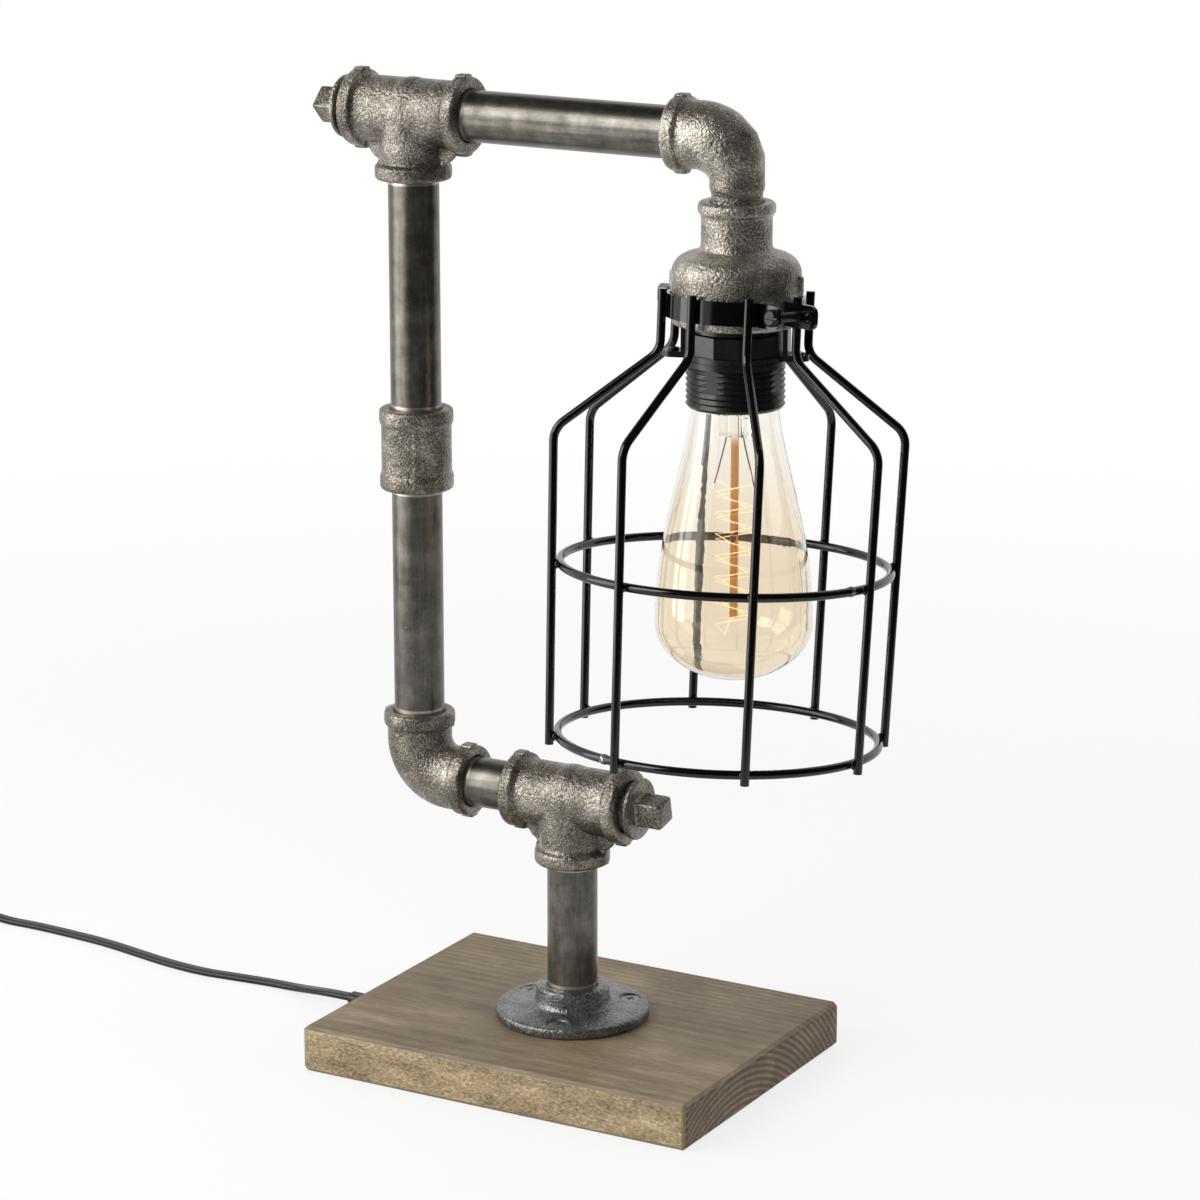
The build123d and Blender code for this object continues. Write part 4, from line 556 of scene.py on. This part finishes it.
bulb_glass = tinted_glass("amber_glass", "#fefefd", "#f8efdf", 300.0, 235.0)
stem_glass = tinted_glass("stem_glass", "#fdfbf5", "#c98d52", 282.0, 276.0)
glow, _ = new_material("glowing_tungsten")
glow_shader = add_node(glow, "ShaderNodeBsdfPrincipled", Base_Color=linear("#5a4a38"), Metallic=1.0,
                       Roughness=0.4, Emission_Color=linear("#ffdca0"), Emission_Strength=1.6)
finish_material(glow, glow_shader)
drawn_wire = plain_skin("drawn_wire", "#5a544c", 0.35, 1.0, 1.0, 0.01)
wear(bulb_glass, ["bulb_glass"])
wear(stem_glass, ["bulb_stem"])

# %% [markdown]
# ## Cast bodies
#
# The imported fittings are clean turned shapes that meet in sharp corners. A real casting
# has no sharp corner anywhere, because sand can't hold one. The quickest way to the same
# softness is a voxel remesh of a merged copy, followed by a few rounds of smoothing: bead,
# neck and web then flow into each other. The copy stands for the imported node.

# %% Soften the castings
MERGE_DISTANCE = 0.00001


def cast_copy(node, material, voxel_mm, rounds):
    """A softened copy of a packed fitting, in its place on the same body."""
    source = nodes[node]
    piece = bpy.data.objects.new("cast_" + node, source.data.copy())
    bpy.context.scene.collection.objects.link(piece)
    only(piece)
    bpy.ops.object.mode_set(mode="EDIT")
    bpy.ops.mesh.select_all(action="SELECT")
    bpy.ops.mesh.remove_doubles(threshold=MERGE_DISTANCE)
    bpy.ops.object.mode_set(mode="OBJECT")
    remesh = piece.modifiers.new("remesh", "REMESH")
    remesh.mode = "VOXEL"
    remesh.voxel_size = voxel_mm * MM
    remesh.use_smooth_shade = True
    soften = piece.modifiers.new("soften", "SMOOTH")
    soften.factor = 0.5
    soften.iterations = rounds
    apply_modifiers(piece)
    wear(material, [piece])
    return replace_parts(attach(piece, source["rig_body"]), node)


for fitting in ("lower_tee", "upper_tee", "lower_elbow", "street_elbow", "post_coupling",
                "bell_reducer", "lower_plug", "upper_plug"):
    # The bell reducer and the street elbow get the paler copy, which is painted light.
    plain_or_painted_lit_iron = pale_cast_iron if fitting in ("street_elbow", "bell_reducer") else sand_cast_iron
    made = cast_copy(fitting, plain_or_painted_lit_iron, voxel_mm=0.5, rounds=12)
    print(fitting, "faces:", len(made.data.polygons))
cast_copy("floor_flange", blackened_iron, voxel_mm=0.45, rounds=3)

# %% [markdown]
# ## Cage wires
#
# The cage is made of straight wire, bent twice over a round former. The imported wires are
# right in place, but their long thin triangles catch a glossy highlight in dots. A curve
# with a round bevel gives an even skin: its points follow the same corners, and each
# corner is cut by an arc of the former's radius. The clamp holds the whole cage slightly
# askew, so one matrix turns the points about the clamp. Radii and heights are in mm, and
# hold for the cage before that turn.

# %% Bend and place the wires
BULB_X, WIRE_R = 75.6, 1.8
TOP_Z, NECK_R, NECK_Z = 339.5, 29.82, 314.6
SHOULDER_R, SHOULDER_Z, FOOT_R, FOOT_Z = 71.4, 282.6, 68.8, 153.6
NECK_BEND, SHOULDER_BEND = 9.0, 10.0
FIRST_WIRE, WIRE_COUNT, CAGE_LEAN = -53.35, 8, radians(4.2)
wire_turns = [FIRST_WIRE + 360 / WIRE_COUNT * n for n in range(WIRE_COUNT)]
clamp_heights = [v.co.z for half in ("clamp_front", "clamp_back")
                 for v in nodes[half].data.vertices]
clamp_z = (min(clamp_heights) + max(clamp_heights)) / 2 / MM
on_clamp = (Matrix.Translation((BULB_X * MM, 0, clamp_z * MM)) @ Matrix.Rotation(-CAGE_LEAN, 4, "X")
            @ Matrix.Translation((0, 0, -clamp_z * MM)))


def bent(corners, bends, steps=10):
    """Points (out, height) along a line whose inner corners are arcs of the given radii."""
    points = [Vector(corners[0])]
    for before, corner, after, bend in zip(corners, corners[1:], corners[2:], bends):
        corner = Vector(corner)
        back = (Vector(before) - corner).normalized()
        on = (Vector(after) - corner).normalized()
        half = back.angle(on) / 2
        middle = corner + (back + on).normalized() * bend / sin(half)
        start = corner + back * bend / tan(half) - middle
        end = corner + on * bend / tan(half) - middle
        turn = start.angle_signed(end)
        for step in range(steps + 1):
            way = turn * step / steps
            points.append(middle + Vector((start.x * cos(way) + start.y * sin(way),
                                           start.y * cos(way) - start.x * sin(way))))
    return points + [Vector(corners[-1])]


def round_wire(name, runs, radius_mm, resolution):
    """A mesh of round wires, each through one run of points in metres."""
    data = bpy.data.curves.new(name, "CURVE")
    data.dimensions = "3D"
    data.bevel_depth = radius_mm * MM
    data.bevel_resolution = resolution
    data.use_fill_caps = True
    for run in runs:
        line = data.splines.new("POLY")
        line.points.add(len(run) - 1)
        for point, place in zip(line.points, run):
            point.co = (*place, 1)
    piece = bpy.data.objects.new(name, data)
    bpy.context.scene.collection.objects.link(piece)
    only(piece)
    bpy.ops.object.convert(target="MESH")
    return bpy.context.object


profile = bent([(NECK_R, TOP_Z), (NECK_R, NECK_Z), (SHOULDER_R, SHOULDER_Z), (FOOT_R, FOOT_Z)],
               (NECK_BEND, SHOULDER_BEND))
cage_runs = []
for degree in wire_turns:
    turn = Matrix.Rotation(radians(degree), 4, "Z")
    cage_runs.append([on_clamp @ turn @ Vector((out * MM, 0, height * MM))
                      for out, height in profile])
bent_wires = round_wire("bent_wires", cage_runs, WIRE_R, 6)
wear(black_enamel, [bent_wires])
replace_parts(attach(bent_wires, "head"), "cage_wires")
print("wires:", WIRE_COUNT, "of", len(profile), "points")

# %% [markdown]
# ## Welds of the cage
#
# Each upright wire is spot-welded to both rings, and each ring is closed by one butt weld.
# A spot weld squeezes out a small collar where the two wires touch, and the enamel rounds
# it off, so a small squashed ball stands at every joint. A butt weld is a rougher lump, and
# the enamel is chipped there, so it gets its own finish.

# %% Small weld beads
RINGS = {"middle": (227.8, -14.5), "bottom": (157.0, -105.5)}
RING_GAP = 0.1
SPOT_SIZES, BUTT_SIZES = (1.2, 2.2, 2.1), (2.15, 2.6, 2.15)


def wire_radius(z):
    """Distance of the upright wires from the cage's axis at a height, in mm."""
    return FOOT_R + (z - FOOT_Z) / (SHOULDER_Z - FOOT_Z) * (SHOULDER_R - FOOT_R)


def weld_beads(name, spots, sizes, finish):
    """Balls at (radius, turn, z) about the cage's axis, with sizes (out, along, up) in mm
    from the middle."""
    beads = []
    for radius, turn, z in spots:
        bpy.ops.object.select_all(action="DESELECT")
        bpy.ops.mesh.primitive_ico_sphere_add(subdivisions=3, radius=MM)
        bead = bpy.context.object
        bpy.ops.object.mode_set(mode="EDIT")
        bpy.ops.transform.resize(value=sizes)
        bpy.ops.object.mode_set(mode="OBJECT")
        around = Matrix.Rotation(radians(turn), 4, "Z")
        bead.data.transform(on_clamp @ around @ Matrix.Translation((radius * MM, 0, z * MM)))
        beads.append(bead)
    only(*beads)
    bpy.ops.object.join()
    piece = bpy.context.object
    piece.name = name
    bpy.ops.object.shade_smooth()
    wear(finish, [piece])
    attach(piece, "head")


spots = [(wire_radius(z) - WIRE_R, turn, z) for z, _ in RINGS.values() for turn in wire_turns]
weld_beads("spot_welds", spots, SPOT_SIZES, black_enamel)
chipped, place = new_material("chipped_weld")
chips = noise(chipped, place, 1.1, 2.0, 0.6)
bare = add_node(chipped, "ShaderNodeMapRange", Value=chips, From_Min=0.52, From_Max=0.58).outputs[0]
chip_colour = mixed(chipped, bare, linear("#0a0a0a"), linear("#b9b5ae"))
chip_bump = add_node(chipped, "ShaderNodeBump", Strength=1.0, Distance=0.6 * MM, Height=chips)
chip_shader = add_node(chipped, "ShaderNodeBsdfPrincipled", Base_Color=chip_colour, Metallic=bare,
                       Roughness=0.25, Normal=chip_bump.outputs["Normal"])
finish_material(chipped, chip_shader)
butts = [(wire_radius(z) - 2 * WIRE_R - RING_GAP, turn, z) for z, turn in RINGS.values()]
weld_beads("butt_welds", butts, BUTT_SIZES, chipped)
print("welds:", len(spots), "spot welds and", len(butts), "butt welds")

# %% [markdown]
# ## Filament
#
# In this bulb a long tungsten wire is strung down a glass rod and up again. It is taut
# between its turning points, so it zigzags in straight strokes, in front of the rod on its
# way down and behind it on its way up. A poly curve through the turning points and a point
# at the rod between each two gives that. Two short lead wires carry its ends.

# %% String the filament
STRING_TOP, STRING_BOTTOM, UP_SHIFT = 261.0, 203.0, -2.2
STRING_REACH, ROD_CLEARANCE, STROKES = 8.6, 2.9, 13
STEM_OUT, STEM_Z, KNEE_OUT, KNEE_Z = 3.6, 281.0, 4.4, 277.0
FILAMENT_THICK, LEAD_THICK = 0.42, 0.6


def bulb_wire(name, runs, thickness, node):
    """A wire through points in mm about the bulb's axis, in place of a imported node."""
    in_place = [[((BULB_X + x) * MM, y * MM, z * MM) for x, y, z in run] for run in runs]
    piece = round_wire(name, in_place, thickness / 2, 2)
    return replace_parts(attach(piece, "bulb"), node)


def strokes(start_z, end_z, side, front):
    """Turning points from one height to the other, on one face of the rod."""
    points = []
    half_on = (end_z - start_z) / STROKES / 2
    for stroke in range(STROKES):
        z = start_z + (end_z - start_z) * stroke / STROKES
        points += [(side * STRING_REACH, 0.0, z), (0.0, front * ROD_CLEARANCE, z + half_on)]
        side = -side
    return points


def lead_run(side):
    """Points of one lead wire, from the stem to just past the filament's end."""
    return [(side * STEM_OUT, 0.0, STEM_Z), (side * KNEE_OUT, 0.0, KNEE_Z),
            (side * STRING_REACH, 0.0, STRING_TOP + 0.4),
            (side * (STRING_REACH + 0.6), 0.0, STRING_TOP - 1.4)]


down = strokes(STRING_TOP, STRING_BOTTOM, 1, -1)
lowest_turn = [(-3.0, -1.5, 197.5)]
up = strokes(STRING_BOTTOM + UP_SHIFT, STRING_TOP + UP_SHIFT, -1, 1)
string = down + lowest_turn + up + [(-STRING_REACH, 0.0, STRING_TOP)]
filament = bulb_wire("filament", [string], FILAMENT_THICK, "bulb_filament")
leads = bulb_wire("lead_wires", [lead_run(1), lead_run(-1)], LEAD_THICK, "bulb_leads")
wear(glow, [filament])
wear(drawn_wire, [leads])

# %% [markdown]
# ## Room and light
#
# A pale sweep of floor and three soft boxes make the plain studio of the photograph. Where
# the floor is looked at, straight or in a reflection, it is mostly a plain white glow.
# Near the lamp a share of it stays matt paper, which takes the lamp's shadow, and that
# share fades out with distance, so the floor meets the white background without a line.

# %% Floor, world and lamps
FLOOR_SIZE = 14.0
GLOW_NEAR, FADE_START, FADE_END = 0.78, 300.0, 1300.0
WORLD_LIGHT, WORLD_SEEN = 0.5, 1.0
WHITE = (1.0, 1.0, 1.0, 1.0)
bpy.ops.mesh.primitive_plane_add(size=FLOOR_SIZE, location=(0, 0, 0))
floor = bpy.context.object
floor.name = "studio_floor"


def seen_directly(material):
    """1 for rays that show a thing, seen straight, in a gloss or through glass, and else 0."""
    rays = add_node(material, "ShaderNodeLightPath").outputs
    first = add_node(material, "ShaderNodeMath", {"operation": "MAXIMUM"},
                     in0=rays["Is Camera Ray"], in1=rays["Is Glossy Ray"])
    both = add_node(material, "ShaderNodeMath", {"operation": "MAXIMUM"}, in0=first.outputs[0],
                    in1=rays["Is Transmission Ray"])
    return both.outputs[0]


paper, place = new_material("white_paper")
paint = add_node(paper, "ShaderNodeBsdfPrincipled", Base_Color=linear("#f2f2f3"), Roughness=0.5)
glowing = add_node(paper, "ShaderNodeEmission", Color=WHITE, Strength=1.0)
reach = add_node(paper, "ShaderNodeVectorMath", {"operation": "LENGTH"}, Vector=place)
share = add_node(paper, "ShaderNodeMapRange", {"interpolation_type": "SMOOTHSTEP"},
                 Value=reach.outputs["Value"], From_Min=FADE_START, From_Max=FADE_END,
                 To_Min=GLOW_NEAR, To_Max=1.0)
amount = add_node(paper, "ShaderNodeMath", {"operation": "MULTIPLY"}, in0=share.outputs[0],
                  in1=seen_directly(paper))
finish_material(paper, add_node(paper, "ShaderNodeMixShader", in0=amount.outputs[0],
                                in1=paint.outputs[0], in2=glowing.outputs[0]))
floor.data.materials.append(paper)

world = bpy.data.worlds.new("studio")
bpy.context.scene.world = world
world.use_nodes = True
background = world.node_tree.nodes["Background"]
background.inputs["Color"].default_value = WHITE
level = add_node(world, "ShaderNodeMapRange", Value=seen_directly(world), To_Min=WORLD_LIGHT,
                 To_Max=WORLD_SEEN)
world.node_tree.links.new(level.outputs[0], background.inputs["Strength"])


def soft_box(name, place, aim, width, height, power):
    """A rectangular area lamp that faces a point; sizes in metres, power in watts."""
    data = bpy.data.lights.new(name, "AREA")
    data.shape = "RECTANGLE"
    data.size, data.size_y = width, height
    data.energy = power
    lamp = bpy.data.objects.new(name, data)
    bpy.context.scene.collection.objects.link(lamp)
    lamp.location = place
    lamp.rotation_euler = (Vector(aim) - Vector(place)).to_track_quat("-Z", "Y").to_euler()
    lamp.visible_camera = False
    return lamp


soft_box("key_high", (-0.6, -1.2, 1.0), (0.02, 0, 0.25), 0.6, 0.7, 8.5)
soft_box("strip_left", (-0.68, -0.42, 0.45), (0, 0, 0.3), 0.42, 0.9, 4.4)
fill = soft_box("fill_right", (1.5, 0.5, 0.9), (0.05, 0, 0.2), 0.8, 1.2, 6)
fill.visible_glossy = False

# %% [markdown]
# A bright room makes dark steel look pale. Photographers stand a black card beside the
# camera, and its reflection gives round metal a dark side and so a shape. Here it is a
# curved wall from a little left of the camera round to the lamp's right, with a dark
# ceiling above. Two bright white cards further left, one high and one low, draw the long
# highlights. Only glossy reflections can see any of the four.

# %% Cards and dark ceiling
CARD_RADIUS, CARD_STEPS = 0.8, 24
CEILING_SIZE, CEILING_Z = 1.9, 1.45


def gloss_only(name, card, shader_kind, **values):
    """Give a card its finish and hide it from every ray but those of glossy reflections.

    Cycles counts a ray through clear glass as glossy too, so for that ray the card is
    transparent."""
    card.name = name
    finish, _ = new_material(name)
    through_glass = add_node(finish, "ShaderNodeLightPath").outputs["Is Transmission Ray"]
    surface = add_node(finish, shader_kind, **values)
    clear = add_node(finish, "ShaderNodeBsdfTransparent")
    finish_material(finish, add_node(finish, "ShaderNodeMixShader", in0=through_glass,
                                     in1=surface.outputs[0], in2=clear.outputs[0]))
    card.data.materials.append(finish)
    for ray in ("camera", "diffuse", "transmission", "volume_scatter", "shadow"):
        setattr(card, "visible_" + ray, False)


def curved_card(name, turn, angle, low, high, shader_kind, **values):
    """Part of an upright tube round the lamp, from a turn onwards, that only gloss shows.

    It is a plane merged to one point, which is drawn up into a line and then spun."""
    bpy.ops.mesh.primitive_plane_add(size=0.02, location=(CARD_RADIUS, 0, low))
    card = bpy.context.object
    bpy.ops.object.mode_set(mode="EDIT")
    bpy.ops.mesh.select_all(action="SELECT")
    bpy.ops.mesh.merge(type="CENTER")
    bpy.ops.mesh.extrude_vertices_move(TRANSFORM_OT_translate={"value": (0, 0, high - low)})
    bpy.ops.mesh.select_all(action="SELECT")
    bpy.ops.mesh.spin(steps=CARD_STEPS, angle=-radians(angle), center=(0, 0, 0), axis=(0, 0, 1))
    bpy.ops.object.mode_set(mode="OBJECT")
    settle(card)
    card.rotation_euler = (0, 0, radians(turn))
    settle(card)
    turns = [degrees(atan2(v.co.y, v.co.x)) for v in card.data.vertices]
    print(name, "stands from", round(min(turns)), "to", round(max(turns)), "degrees")
    gloss_only(name, card, shader_kind, **values)


curved_card("black_card", -98, 145, 0.03, 1.2, "ShaderNodeBsdfDiffuse", Color=linear("#343434"))
curved_card("white_card", -134, 30, 0.6, 1.3, "ShaderNodeEmission", Color=WHITE, Strength=6.0)
curved_card("low_white_card", -133, 20, 0.05, 0.37, "ShaderNodeEmission", Color=WHITE, Strength=3.5)
bpy.ops.mesh.primitive_plane_add(size=CEILING_SIZE, location=(0, 0, CEILING_Z))
gloss_only("black_ceiling", bpy.context.object, "ShaderNodeBsdfDiffuse", Color=linear("#3a3a3a"))

bpy.context.scene.view_settings.view_transform = "Standard"
